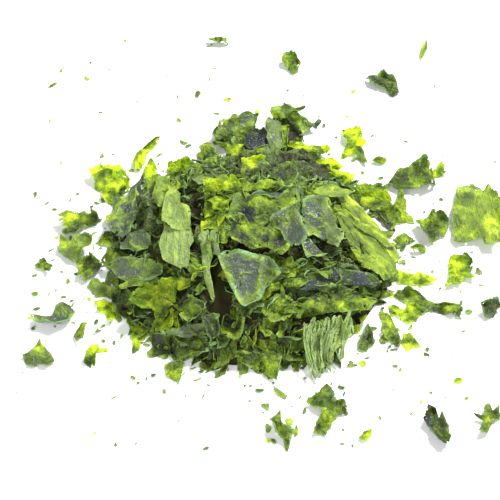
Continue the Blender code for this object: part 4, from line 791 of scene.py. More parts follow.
@dataclass(frozen=True)
class PhotoView:
    """The photograph's camera, which turns what is read off the photograph into places on the heap.

    elevation: how far above the floor it looks from. wide: how much the frame covers at the origin.
    lens, sensor: the camera's own. pixels: the frame's side. finest: what a reading is good to.
    bit_lift: height of the larger crumbs' middles. passes: rounds in which a flake's middle settles.
    """

    elevation: float = 50.0
    wide: float = 150.0
    lens: float = 100.0
    sensor: float = 36.0
    pixels: int = 500
    finest: float = 0.5
    bit_lift: float = 0.3
    passes: int = 40

    @property
    def away(self) -> float:
        """How far the camera is from the origin."""
        return self.wide * self.lens / self.sensor

    @property
    def eye(self) -> Vector:
        """The camera's place."""
        lean = math.radians(self.elevation)
        return Vector((0.0, -math.cos(lean) * self.away, math.sin(lean) * self.away))

    def _rounded(self, value: float) -> float:
        """A length to the nearest step that a reading is good to."""
        return round(value / self.finest) * self.finest + 0.0

    def _half_size(self, value: float) -> float:
        """A half size, which is never less than one step."""
        return max(self.finest, self._rounded(value))

    def on_plane(self, pixel: tuple[float, float], point: Vector, out: Vector) -> Vector:
        """Where a pixel falls on a plane.

        Args:
            pixel: across and down from the photograph's upper left corner.
            point: a point of the plane.
            out: the direction straight out of it.

        Returns:
            The place.
        """
        lean = math.radians(self.elevation)
        ahead = Vector((0.0, math.cos(lean), -math.sin(lean)))
        up = Vector((0.0, math.sin(lean), math.cos(lean)))
        middle = self.pixels / 2
        span = self.sensor / self.lens
        sight = ahead + Vector((1.0, 0.0, 0.0)) * ((pixel[0] - middle) / self.pixels * span)
        sight = (sight + up * ((middle - pixel[1]) / self.pixels * span)).normalized()
        return self.eye + sight * ((point - self.eye).dot(out) / sight.dot(out))

    def on_leaf(self, place: Matrix, pixel: tuple[float, float]) -> Vector:
        """Where a pixel falls on a flake, along and across it.

        Args:
            place: the flake's own frame.
            pixel: across and down from the photograph's upper left corner.

        Returns:
            The place in the flake's frame.
        """
        return place.inverted() @ self.on_plane(pixel, place.translation, place.to_3x3() @ UP)

    @staticmethod
    def _outline(corners: list[tuple[float, float]],
                 size: tuple[float, float]) -> tuple[tuple[float, float], ...]:
        """The corners that an outline can keep: all but those that would turn it back round its middle.

        Args:
            corners: the flake's corners, along and across it, in either order round it.
            size: the flake's size.

        Returns:
            The corners, counter-clockwise.
        """
        following = corners[1:] + corners[:1]
        area = sum(here[0] * there[1] - there[0] * here[1] for here, there in zip(corners, following))
        order = corners if area > 0.0 else corners[::-1]
        following = order[1:] + order[:1]
        angles = {corner: math.atan2(corner[1] / size[1], corner[0] / size[0]) for corner in order}
        back = {there for here, there in zip(order, following)
                if (angles[there] - angles[here]) % math.tau > math.pi}
        return tuple(corner for corner in order if corner not in back)

    def shaped(self, seen: Seen, form: HeapForm) -> Flake:
        """The flake that was seen, with its middle, size and outline worked out from its corners.

        Args:
            seen: the flake's readings.
            form: what it lies on.

        Returns:
            The flake, without its marks.
        """
        mean = tuple(sum(corner[i] for corner in seen.corners) / len(seen.corners) for i in range(2))
        start = self.on_plane(mean, UP * seen.lift, UP)
        flake = Flake(seen.kind, (start.x, start.y), (1.0, 1.0), seen.turn, seen.lift, seen.tilt, seen.folds,
                      wave=seen.wave, seed=seen.seed, bow=seen.bow, slope=seen.slope)
        for _ in range(self.passes):
            place = form.place(flake)
            points = [self.on_leaf(place, corner) for corner in seen.corners]
            sides = [(min(point[i] for point in points), max(point[i] for point in points))
                     for i in range(2)]
            middle = place @ Vector((sum(sides[0]) / 2.0, sum(sides[1]) / 2.0, 0.0))
            flake = replace(flake, at=(middle.x, middle.y))
        flake = replace(flake, at=(self._rounded(middle.x), self._rounded(middle.y)))
        place = form.place(flake)
        points = [self.on_leaf(place, corner) for corner in seen.corners]
        size = tuple(self._rounded(max(point[i] for point in points) - min(point[i] for point in points))
                     for i in range(2))
        for point in points:
            point.y -= flake.bow * ((point.x / (size[0] / 2.0)) ** 2 - BOW_LEVEL)
        corners = [(self._rounded(point.x), self._rounded(point.y)) for point in points]
        return replace(flake, size=size, corners=self._outline(corners, size))

    def marked(self, flake: Flake, seen: Seen, form: HeapForm) -> Flake:
        """The same flake with the blots and veins that were seen on it.

        Args:
            flake: the flake.
            seen: its readings.
            form: what it lies on.

        Returns:
            The marked flake.
        """
        place = form.place(flake)
        blots = []
        for across, down, half_across, half_down, blue, step in seen.blots:
            middle = self.on_leaf(place, (across, down))
            beside = self.on_leaf(place, (across + half_across, down)) - middle
            below = self.on_leaf(place, (across, down + half_down)) - middle
            blots.append((self._rounded(middle.x), self._rounded(middle.y),
                          self._half_size(math.hypot(beside.x, below.x)),
                          self._half_size(math.hypot(beside.y, below.y)), blue, step))
        ridge_shading = []
        for from_across, from_down, to_across, to_down, *look in seen.ridge_shading:
            start = self.on_leaf(place, (from_across, from_down))
            end = self.on_leaf(place, (to_across, to_down))
            ends = (self._rounded(value) for value in (start.x, start.y, end.x, end.y))
            ridge_shading.append((*ends, *look))
        return replace(flake, blots=tuple(blots), ridge_shading=tuple(ridge_shading))

    def flake(self, row: Seen | Flake, form: HeapForm) -> Flake:
        """A table's row as a flake in millimetres."""
        return self.marked(self.shaped(row, form), row, form) if isinstance(row, Seen) else row

    def bit(self, bit: Bit, fold: tuple[float, ...], seed: int) -> Flake:
        """One larger crumb as a flake on the floor.

        Args:
            bit: its readings.
            fold: its crease.
            seed: its own random draw.

        Returns:
            The crumb.
        """
        place = self.on_plane((bit.across, bit.down), UP * self.bit_lift, UP)
        turn = math.radians(bit.turn)
        way = Vector((math.cos(turn), math.sin(turn) / math.sin(math.radians(self.elevation))))
        scale = self.wide / self.pixels
        size = self._half_size(bit.length * scale * way.length), self._half_size(bit.width * scale)
        return Flake(bit.kind, (self._rounded(place.x), self._rounded(place.y)), size,
                     round(math.degrees(math.atan2(way.y, way.x))), self.bit_lift, folds=(fold,),
                     wave=0.3, seed=seed, slope=0.0)


class Relief:
    """The outline, the swells, the sharp creases and the tears of one flake, drawn from its seed."""

    def __init__(self, flake: Flake) -> None:
        """Draw the flake's outline and waves.

        Args:
            flake: the flake that the relief belongs to.
        """
        self.look = flake.kind.value
        self.wave = flake.wave
        self.seed = float(flake.seed % 977)
        self.blots = flake.blots
        self.ridge_shading = flake.ridge_shading
        draw = random.Random(flake.seed)
        half = Vector(flake.size) / 2.0
        if flake.corners:
            self.ring = [(math.atan2(y / half.y, x / half.x) % math.tau, math.hypot(x / half.x, y / half.y))
                         for x, y in flake.corners]
        else:
            corners = flake.outline.value or self._torn_corners(draw)
            self.ring = [(math.radians(turn) % math.tau, out) for turn, out in corners]
        self.ring.sort()
        first, last = self.ring[0], self.ring[-1]
        self.ring = [(last[0] - math.tau, last[1])] + self.ring + [(first[0] + math.tau, first[1])]
        self.swells = [self._wave(draw, length, math.pi) for length in (22.0, 14.0, 9.0)]
        fine = random.Random(flake.seed + 50000)
        spread = 1.1 - 0.9 * self.look.streak
        self.creases = [(*self._wave(fine, length, spread), high * self.look.crinkle)
                        for length, high in ((12.0, 1.6), (7.0, 1.0), (4.2, 0.4))]
        self.notches = [(fine.uniform(0.0, math.tau), fine.uniform(0.04, 0.12), fine.uniform(0.3, 1.6))
                        for _ in range(fine.randint(3, 6))]

    @staticmethod
    def _torn_corners(draw: random.Random) -> tuple[tuple[float, float], ...]:
        """A torn outline of five to seven uneven corners."""
        count = draw.randint(5, 7)
        start = draw.uniform(0.0, 360.0)
        return tuple((start + (i + draw.uniform(-0.3, 0.3)) * 360.0 / count, draw.uniform(0.8, 1.2))
                     for i in range(count))

    @staticmethod
    def _wave(draw: random.Random, length: float, spread: float) -> tuple[float, float, float]:
        """One wave over the sheet: its number along and across, and its phase."""
        heading = math.pi / 2.0 + draw.uniform(-spread, spread)
        number = math.tau / (length * draw.uniform(0.8, 1.2))
        return number * math.cos(heading), number * math.sin(heading), draw.uniform(0.0, math.tau)

    def reach(self, angle: float) -> float:
        """How far the torn outline reaches in a direction, as a share of the half size."""
        angle %= math.tau
        straight = 1.0
        for (turn_a, reach_a), (turn_b, reach_b) in zip(self.ring, self.ring[1:]):
            if turn_a <= angle <= turn_b and turn_b > turn_a:
                across = reach_a * math.sin(angle - turn_a) + reach_b * math.sin(turn_b - angle)
                straight = reach_a * reach_b * math.sin(turn_b - turn_a) / across
        way = Vector((math.cos(angle), math.sin(angle), self.seed))
        torn = 0.7 * noise.noise(way * 3.0) + 0.6 * noise.noise(way * 8.0) + 0.5 * noise.noise(way * 19.0)
        for turn, wide, deep in self.notches:
            gap = abs((angle - turn + math.pi) % math.tau - math.pi)
            torn -= deep * max(0.0, 1.0 - gap / wide)
        return straight * (1.0 + self.look.ragged * torn)

    def swell(self, x: float, y: float) -> float:
        """Height of the long waves over a point of the sheet."""
        return self.wave * sum(math.sin(x * along + y * across + phase)
                               for along, across, phase in self.swells) / len(self.swells)

    def crease(self, x: float, y: float) -> tuple[float, float]:
        """The sharp creases over a point of the sheet.

        Args:
            x: place along the flake.
            y: place across the flake.

        Returns:
            The height, and how close the point is to a crease, 1 on its top and -1 at its foot; the finish
            paints the crease lighter as a painted highlight and the foot darker as painted shade.
        """
        bend = noise.noise((x * 0.12, y * 0.12, self.seed)) * 2.2
        high = 0.0
        line = 0.0
        foot = 0.0
        for along, across, phase, amount in self.creases:
            turn = (x * along + y * across + phase + bend) / math.tau
            saw = abs((turn % 1.0) * 2.0 - 1.0)
            high += (saw - 0.5) * amount
            foot = max(foot, (0.12 - saw) / 0.12)
        grain = 1.0 - 0.6 * self.look.streak
        for size, amount in ((5.0, 1.0), (2.4, 0.45 * self.look.grain)):
            near, next_near = noise.voronoi((x / size * grain, y / size, self.seed))[0][:2]
            high -= near * amount * self.look.crinkle
            line = max(line, amount * (1.0 - (next_near - near) / 0.13))
        pitted = noise.noise((x * 0.9 * grain, y * 0.9, self.seed + 100.0))
        high += 0.3 * self.look.crinkle * self.look.grain * pitted
        plain = min(1.0, max(0.0, 0.5 + 1.6 * noise.noise((x * 0.2, y * 0.2, self.seed + 20.0))))
        return high, line * plain - foot * (1.0 - plain)

    def blot(self, x: float, y: float) -> tuple[float, float]:
        """How much the blots add to the grey-blue share and to the tone at a point."""
        slate = tone = 0.0
        for at_x, at_y, half_x, half_y, blue, step in self.blots:
            away = math.hypot((x - at_x) / half_x, (y - at_y) / half_y)
            away += 0.45 * noise.noise((x * 0.3, y * 0.3, self.seed + 160.0))
            share = min(1.0, max(0.0, (1.12 - away) / 0.24))
            slate += blue * share
            tone += step * share
        return slate, tone

    def lit_ridge(self, x: float, y: float) -> tuple[float, float]:
        """How high the raised and sunk lines make a point, and their painted highlights and painted shade
        there.
        """
        high = light = 0.0
        point = Vector((x, y)) + Vector((noise.noise((x * 0.4, y * 0.4, self.seed + 200.0)),
                                         noise.noise((x * 0.4, y * 0.4, self.seed + 220.0)))) * 0.8
        for from_x, from_y, to_x, to_y, wide, rise, bright in self.ridge_shading:
            start, run = Vector((from_x, from_y)), Vector((to_x - from_x, to_y - from_y))
            along = min(1.0, max(0.0, (point - start).dot(run) / run.length_squared))
            share = max(0.0, 1.0 - (point - start - run * along).length / wide)
            high += rise * share
            light = light if abs(light) > abs(bright * share) else bright * share
        return high, light

    def rim(self, x: float, y: float) -> float:
        """How much lighter the torn edge is at a point: its own lighter green, and a painted glow through it.
        """
        torn = 0.6 + 1.8 * noise.noise((x * 0.16, y * 0.16, self.seed + 60.0))
        return self.look.rim * min(1.0, max(0.0, torn))

    def curl(self, x: float, y: float, edge: float) -> float:
        """Height of the curled edge over a point of the sheet."""
        share = max(0.0, edge - 0.65) / 0.35
        return 3.0 * self.look.crinkle * share * share * noise.noise((x * 0.22, y * 0.22, self.seed + 40.0))

    def torn_away(self, x: float, y: float, edge: float) -> bool:
        """Whether the sheet is torn away at a point.

        Args:
            x: place along the flake.
            y: place across the flake.
            edge: share of the way from the middle to the edge.

        Returns:
            True in a nibbled bit of the edge.
        """
        nibble = noise.noise((x * 0.8, y * 0.8, self.seed + 80.0)) + max(0.0, edge - 0.85) * 1.5
        return edge > 0.8 and nibble > 0.62 - 1.6 * self.look.ragged


@dataclass
class LeafMesh:
    """A mesh that many flakes are laid into, with the attributes that the leaf finishes read."""

    name: str
    form: HeapForm
    cell: float = 0.6
    thick: float = 0.18
    floor: float = 0.35
    least: float = 0.0005
    mesh: bmesh.types.BMesh = field(default_factory=bmesh.new)

    def __post_init__(self) -> None:
        """Add the attribute layers; the line layer carries the rim's lighter colour with its painted glow,
        and the painted highlights and shade of the creases and raised lines.
        """
        self.tint = self.mesh.verts.layers.float_color.new("leaf")
        self.line = self.mesh.verts.layers.float_color.new("line")
        self.uv = self.mesh.loops.layers.uv.new("length")

    @staticmethod
    def _folded(point: Vector, half: Vector, fold: tuple[float, ...]) -> Vector:
        """Bend what lies beyond a crease up round a small cylinder.

        Args:
            point: a point of the sheet.
            half: half the flake's length and width.
            fold: reach, heading, angle and radius.

        Returns:
            The point after the fold.
        """
        reach, heading, angle, radius = fold
        heading = math.radians(heading)
        way = Vector((math.cos(heading), math.sin(heading)))
        crease = reach / math.hypot(way.x / half.x, way.y / half.y)
        beyond = way.x * point.x + way.y * point.y - crease
        if beyond <= 0.0:
            return point
        side = math.copysign(1.0, angle)
        bend = min(beyond / radius, abs(math.radians(angle)))
        rest = beyond - bend * radius
        high = point.z * side
        run = (radius - high) * math.sin(bend) + rest * math.cos(bend)
        rise = radius - (radius - high) * math.cos(bend) + rest * math.sin(bend)
        shift = run - beyond
        return Vector((point.x + way.x * shift, point.y + way.y * shift, rise * side))

    def lay(self, flake: Flake, place: Matrix | None = None) -> list[bmesh.types.BMVert]:
        """Add one flake to the mesh.

        Args:
            flake: the flake.
            place: its own frame, or nothing to lay it on the heap's form.

        Returns:
            The flake's vertices.
        """
        look = flake.kind.value
        relief = Relief(flake)
        place = place or self.form.place(flake)
        half = Vector(flake.size) / 2.0
        cell = self.cell * (0.7 if flake.blots or flake.ridge_shading else 1.0)
        steps = [max(3, round(length / cell)) for length in flake.size]
        made = bmesh.ops.create_grid(self.mesh, x_segments=steps[0], y_segments=steps[1], size=1.0)["verts"]
        flat: dict[bmesh.types.BMVert, tuple[float, float, float]] = {}
        for vert in made:
            u, v = vert.co.x, vert.co.y
            disc = Vector((u * math.sqrt(1.0 - v * v / 2.0), v * math.sqrt(1.0 - u * u / 2.0)))
            reach = relief.reach(math.atan2(disc.y, disc.x))
            x = disc.x * reach * half.x
            y = disc.y * reach * half.y
            edge = disc.length
            out = math.hypot(x, y) / max(edge, 0.05)
            # How much lighter the torn edge is: the thin edge's own lighter green and a painted glow through
            # it.
            rim = max(0.0, 1.0 - (1.0 - edge) * out / (0.45 + 0.065 * min(flake.size))) * relief.rim(x, y)
            high, line = relief.crease(x, y)
            rise, light = relief.lit_ridge(x, y)
            blue, step = relief.blot(x, y)
            flat[vert] = (x, y, edge)
            lift = relief.swell(x, y) * (0.4 + edge) + high + rise + relief.curl(x, y, edge)
            y += flake.bow * ((x / half.x) ** 2 - BOW_LEVEL)
            point = Vector((x, y, lift))
            for fold in flake.folds:
                point = self._folded(point, half, fold)
            point = place @ point
            if point.z < self.floor:
                point.z = self.floor * (0.4 + 0.6 * math.exp((point.z - self.floor) / 2.0))
            vert.co = point * MM
            # Crease closeness and raised-line lightness: the finish paints tops and raised lines lighter as
            # highlights, feet and sunk lines darker as shade.
            line = max(-1.0, min(1.0, line * 0.7 + light))
            vert[self.tint] = (look.tone + step, max(0.0, look.slate + blue), look.pale, look.spread)
            vert[self.line] = (rim, 0.5 + 0.5 * line, look.streak, look.grain)
        torn = []
        for face in {face for vert in made for face in vert.link_faces}:
            face.smooth = look.grain < 0.5
            for loop in face.loops:
                x, y, _ = flat[loop.vert]
                loop[self.uv].uv = (x / 10.0 + flake.seed % 97 * 1.7, y / 10.0 + flake.seed % 89 * 2.3)
            middle = [sum(flat[vert][i] for vert in face.verts) / len(face.verts) for i in range(3)]
            if relief.torn_away(*middle) or face.calc_area() < self.least * MM * MM:
                torn.append(face)
        bmesh.ops.delete(self.mesh, geom=torn, context="FACES")
        left = [vert for vert in made if vert.is_valid]
        for edge in {edge for vert in left for edge in vert.link_edges if edge.is_boundary}:
            edge.smooth = False
        return left

    def finish(self, material: bpy.types.Material, finish: Finish, nodes: list[str]) -> bpy.types.Object:
        """Give the sheets their wall, dress them and hand the piece to the frame.

        Args:
            material: the leaf finish.
            finish: the finish's place in the record; not used.
            nodes: the CAD nodes that the piece stands for.

        Returns:
            The finished piece.
        """
        data = bpy.data.meshes.new(self.name)
        self.mesh.to_mesh(data)
        self.mesh.free()
        data.materials.append(material)
        piece = bpy.data.objects.new(self.name, data)
        bpy.context.scene.collection.objects.link(piece)
        wall = piece.modifiers.new("leaf wall", "SOLIDIFY")
        wall.thickness = self.thick * MM
        wall.offset = 0.0
        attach(piece, BODY)
        if nodes:
            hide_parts(*nodes)
        LOG.info("%s: %d faces", piece.name, len(data.polygons))
        return piece


class Nodes:
    """A short way to write a material's node tree."""

    def __init__(self, name: str) -> None:
        """Start a material with an empty tree.

        Args:
            name: the material's name.
        """
        self.material = bpy.data.materials.new(name)
        self.material.use_nodes = True
        self.tree = self.material.node_tree
        self.tree.nodes.clear()

    def add(self, kind: str, inputs: dict[str | int, object] | None = None,
            **settings: object) -> bpy.types.Node:
        """Add a node.

        Args:
            kind: the node's type.
            inputs: a value, or a socket to link, for each named input.
            **settings: the node's own options.

        Returns:
            The node.
        """
        node = self.tree.nodes.new(kind)
        for key, value in settings.items():
            setattr(node, key, value)
        for key, value in (inputs or {}).items():
            if isinstance(value, bpy.types.NodeSocket):
                self.tree.links.new(value, node.inputs[key])
            else:
                node.inputs[key].default_value = value
        return node

    def math(self, operation: str, *values: object, clamp: bool = False) -> bpy.types.NodeSocket:
        """A Math node's result."""
        node = self.add("ShaderNodeMath", dict(enumerate(values)), operation=operation, use_clamp=clamp)
        return node.outputs[0]

    def noise(self, place: bpy.types.NodeSocket, scale: float, detail: float = 3.0) -> bpy.types.NodeSocket:
        """A noise pattern's strength, about 0.5 in its middle."""
        pattern = self.add("ShaderNodeTexNoise", {"Vector": place, "Scale": scale, "Detail": detail})
        return pattern.outputs["Fac"]

    def ridge(self, place: bpy.types.NodeSocket, scale: float, sharp: float) -> bpy.types.NodeSocket:
        """A net of fine raised lines, 1 on a line and 0 away from it."""
        away = self.math("ABSOLUTE", self.math("SUBTRACT", self.noise(place, scale, 2.0), 0.5))
        return self.math("SUBTRACT", 1.0, self.math("MULTIPLY", away, 2.0 * sharp), clamp=True)

    def facets(self, place: bpy.types.NodeSocket, scale: float) -> bpy.types.NodeSocket:
        """The crumpled facets of a dry leaf: low in a facet's middle, high along its creases."""
        cells = self.add("ShaderNodeTexVoronoi", {"Vector": place, "Scale": scale}, feature="F1")
        return cells.outputs["Distance"]

    def mix(self, share: object, first: object, second: object) -> bpy.types.NodeSocket:
        """Two colours mixed."""
        node = self.add("ShaderNodeMix", {0: share, 6: first, 7: second}, data_type="RGBA", clamp_factor=True)
        return node.outputs[2]

    def ramp(self, share: bpy.types.NodeSocket,
             stops: tuple[tuple[float, tuple[float, ...]], ...]) -> bpy.types.NodeSocket:
        """A colour ramp of named stops."""
        node = self.add("ShaderNodeValToRGB", {0: share})
        elements = node.color_ramp.elements
        while len(elements) > 1:
            elements.remove(elements[0])
        elements[0].position, elements[0].color = stops[0][0], (*stops[0][1], 1.0)
        for place, colour in stops[1:]:
            elements.new(place).color = (*colour, 1.0)
        return node.outputs["Color"]


@dataclass(frozen=True)
class LeafFinish:
    """A dry leaf's finish: greens, grey-blue patches with a painted sheen, a rim with a painted glow, painted
    crease light and shade, and a dry sheen.
    """

    name: str
    through: float
    rough: float
    gloss: float = 0.35
    glow: float = 1.6
    greens: tuple[tuple[float, tuple[float, float, float]], ...] = (
        (0.0, (0.020, 0.013, 0.007)),
        (0.2, (0.034, 0.044, 0.009)),
        (0.4, (0.068, 0.112, 0.014)),
        (0.55, (0.138, 0.220, 0.020)),
        (0.7, (0.245, 0.360, 0.024)),
        (0.85, (0.400, 0.520, 0.024)),
        (1.0, (0.640, 0.730, 0.035)),
    )
    navy: tuple[float, float, float, float] = (0.026, 0.030, 0.040, 1.0)
    # The pale end of the grey-blue patches: a painted sheen over the dark navy leaf.
    slate: tuple[float, float, float, float] = (0.102, 0.134, 0.155, 1.0)
    dust: tuple[float, float, float, float] = (0.460, 0.600, 0.240, 1.0)
    # The rim's colours: the thin edge's own lighter green, brightened as a painted glow of light through it.
    rim_lime: tuple[float, float, float, float] = (0.360, 0.520, 0.100, 1.0)
    rim_teal: tuple[float, float, float, float] = (0.230, 0.400, 0.160, 1.0)

    def material(self) -> bpy.types.Material:
        """Build the finish as a node tree."""
        n = Nodes(self.name)
        length = n.add("ShaderNodeUVMap", uv_map="length").outputs["UV"]
        leaf = n.add("ShaderNodeAttribute", attribute_name="leaf")
        line = n.add("ShaderNodeAttribute", attribute_name="line")
        shares = n.add("ShaderNodeSeparateColor", {0: leaf.outputs["Color"]})
        lines = n.add("ShaderNodeSeparateColor", {0: line.outputs["Color"]})
        tone, slate, pale = shares.outputs
        rim, crease_light_level, streak = lines.outputs
        # Painted light and shade: above 0 a painted highlight along crease lines and raised lines, below 0
        # painted shade at crease feet and in sunk lines.
        crease = n.math("MULTIPLY", n.math("SUBTRACT", crease_light_level, 0.5), 2.0)
        patch = n.noise(length, 2.4, 6.0)
        fine = n.noise(length, 13.0, 4.0)
        drawn = n.add("ShaderNodeMapping", {"Vector": length, "Scale": (1.2, 34.0, 1.0)}).outputs[0]
        stria = n.noise(drawn, 1.0, 3.0)
        # A net of fine raised lines, painted lighter along them as a painted highlight and raised in the
        # bump.
        thin_lit_ridges = n.math("MULTIPLY", n.ridge(length, 7.0, 6.0), 0.6)
        lit_ridge = n.math("MAXIMUM", n.ridge(length, 2.6, 9.0), thin_lit_ridges)

        spread = n.math("MULTIPLY", leaf.outputs["Alpha"], 4.0)
        vary = n.math("MULTIPLY", n.math("SUBTRACT", patch, 0.5), spread)
        rough = line.outputs["Alpha"]
        grain = n.math("MULTIPLY", n.math("SUBTRACT", fine, 0.5), n.math("MULTIPLY", rough, 0.6))
        run = n.math("MULTIPLY", n.math("SUBTRACT", stria, 0.5), n.math("MULTIPLY", streak, 0.7))
        # A step in tone from the painted highlights and shade of creases and raised lines, and from the rim's
        # own lighter green with its painted glow.
        painted_crease_light = n.math("ADD", n.math("MULTIPLY", crease, 0.3), n.math("MULTIPLY", lit_ridge, 0.12))
        edge = n.math("ADD", n.math("MULTIPLY", rim, 0.3), painted_crease_light)
        depth = n.math("ADD", n.math("ADD", tone, vary), n.math("ADD", n.math("ADD", grain, run), edge))
        green = n.ramp(depth, self.greens)

        aside = n.add("ShaderNodeMapping", {"Vector": length, "Location": (3.0, 1.0, 2.0)}).outputs[0]
        cloud = n.noise(aside, 1.8, 5.0)
        level = n.math("ADD", cloud, n.math("SUBTRACT", n.math("MULTIPLY", slate, 0.45), 0.74))
        clear = n.math("SUBTRACT", 1.0, n.math("MULTIPLY", edge, 3.0, clamp=True))
        patches = n.math("MULTIPLY", n.math("MULTIPLY", level, 16.0, clamp=True), clear)
        # The grey-blue patches: the thick leaf's own dark navy, lightened at random and with tone towards
        # slate as a painted sheen.
        soft = n.math("ADD", 0.5, grain)
        paler = n.math("MULTIPLY", n.math("SUBTRACT", tone, 0.5), 1.5)
        blue = n.mix(n.math("ADD", soft, paler), self.navy, self.slate)
        body = n.mix(n.math("MULTIPLY", patches, 0.92), green, blue)
        dusty = n.math("MULTIPLY", pale, n.math("ADD", 0.45, n.math("MULTIPLY", stria, 0.7)))
        # The rim's colour: its own lighter green and a painted glow of light through it.
        rim_colour_and_glow = n.mix(n.math("MULTIPLY", slate, 3.0, clamp=True), self.rim_lime, self.rim_teal)
        colour = n.mix(n.math("MULTIPLY", rim, 1.6, clamp=True), n.mix(dusty, body, self.dust), rim_colour_and_glow)

        sheen = n.math("ADD", self.rough, n.math("MULTIPLY", n.math("SUBTRACT", fine, 0.5), 0.25))
        sheen = n.math("SUBTRACT", sheen, n.math("MULTIPLY", patches, 0.14), clamp=True)
        calm = n.math("MULTIPLY", rough, n.math("SUBTRACT", 0.9, n.math("MULTIPLY", patches, 0.6)))
        facets = n.math("ADD", n.facets(length, 3.2), n.math("MULTIPLY", n.facets(length, 8.0), 0.5))
        relief = n.math("ADD", n.math("ADD", n.math("MULTIPLY", fine, calm), n.math("MULTIPLY", lit_ridge, 0.5)),
                        n.math("MULTIPLY", stria, n.math("MULTIPLY", streak, 1.2)))
        relief = n.math("ADD", relief, n.math("MULTIPLY", facets, n.math("MULTIPLY", rough, -1.6)))
        bump = n.add("ShaderNodeBump", {"Strength": 0.9, "Distance": 0.0005, "Height": relief}).outputs[0]
        skin = n.add("ShaderNodeBsdfPrincipled", {"Base Color": colour, "Roughness": sheen, "Normal": bump,
                                                  "Specular IOR Level": self.gloss})
        bright = n.add("ShaderNodeMix", {0: 1.0, 6: colour, 7: (self.glow, self.glow, self.glow * 0.5, 1.0)},
                       data_type="RGBA", blend_type="MULTIPLY").outputs[2]
        light = n.add("ShaderNodeBsdfTranslucent", {"Color": bright, "Normal": bump})
        both = n.add("ShaderNodeMixShader", {0: self.through, 1: skin.outputs[0], 2: light.outputs[0]})
        n.add("ShaderNodeOutputMaterial", {"Surface": both.outputs[0]})
        return n.material


class Finishes:
    """The leaf finishes, one for each entry of Finish."""

    def __init__(self) -> None:
        """Build every finish, and the dull near-black one of the heap's core, which is painted shade."""
        self.made = {
            Finish.THIN: LeafFinish("lime_leaf_finish", 0.5, 0.46).material(),
            Finish.MIXED: LeafFinish("mixed_leaf_finish", 0.3, 0.44).material(),
            Finish.THICK: LeafFinish("dark_leaf_finish", 0.1, 0.46, 0.38).material(),
        }
        # The core's near-black, dull finish: painted shade.
        self.inside = LeafFinish("heap_painted_shade_finish", 0.0, 0.9, 0.1).material()

    def __getitem__(self, finish: Finish) -> bpy.types.Material:
        """The material of a finish."""
        return self.made[finish]


@dataclass
class Region:
    """The large flakes of one side of the heap."""

    name: str
    flakes: dict[str, Flake]
    form: HeapForm

    def build(self, finishes: Finishes) -> list[bpy.types.Object]:
        """Lay the flakes into one piece for each finish.

        Args:
            finishes: the leaf finishes.

        Returns:
            The finished pieces.
        """
        pieces = []
        for finish in Finish:
            chosen = [flake for flake in self.flakes.values() if flake.kind.value.finish is finish]
            if chosen:
                sheets = LeafMesh(f"{self.name}_{finish.value}", self.form)
                for flake in chosen:
                    sheets.lay(flake)
                pieces.append(sheets.finish(finishes[finish], finish, ["flake_heap"]))
        return pieces


@dataclass(frozen=True)
class Patch:
    """An oval part of the heap in plan: its middle and its half sizes."""

    at: tuple[float, float]
    half: tuple[float, float]

    def holds(self, x: float, y: float) -> bool:
        """Whether a point in plan is in it."""
        return ((x - self.at[0]) / self.half[0]) ** 2 + ((y - self.at[1]) / self.half[1]) ** 2 < 1.0


@dataclass(frozen=True)
class Lie:
    """How the filling lies in one part of the heap.

    turn: heading of the leaves' lengths. spread: how far they stray from it. slim: narrowest and
    widest, as a share of the length. kinds: the kinds of leaf, with the share of each.
    """

    patch: Patch
    turn: float
    spread: float
    slim: tuple[float, float]
    kinds: tuple[tuple[Kind, float], ...]


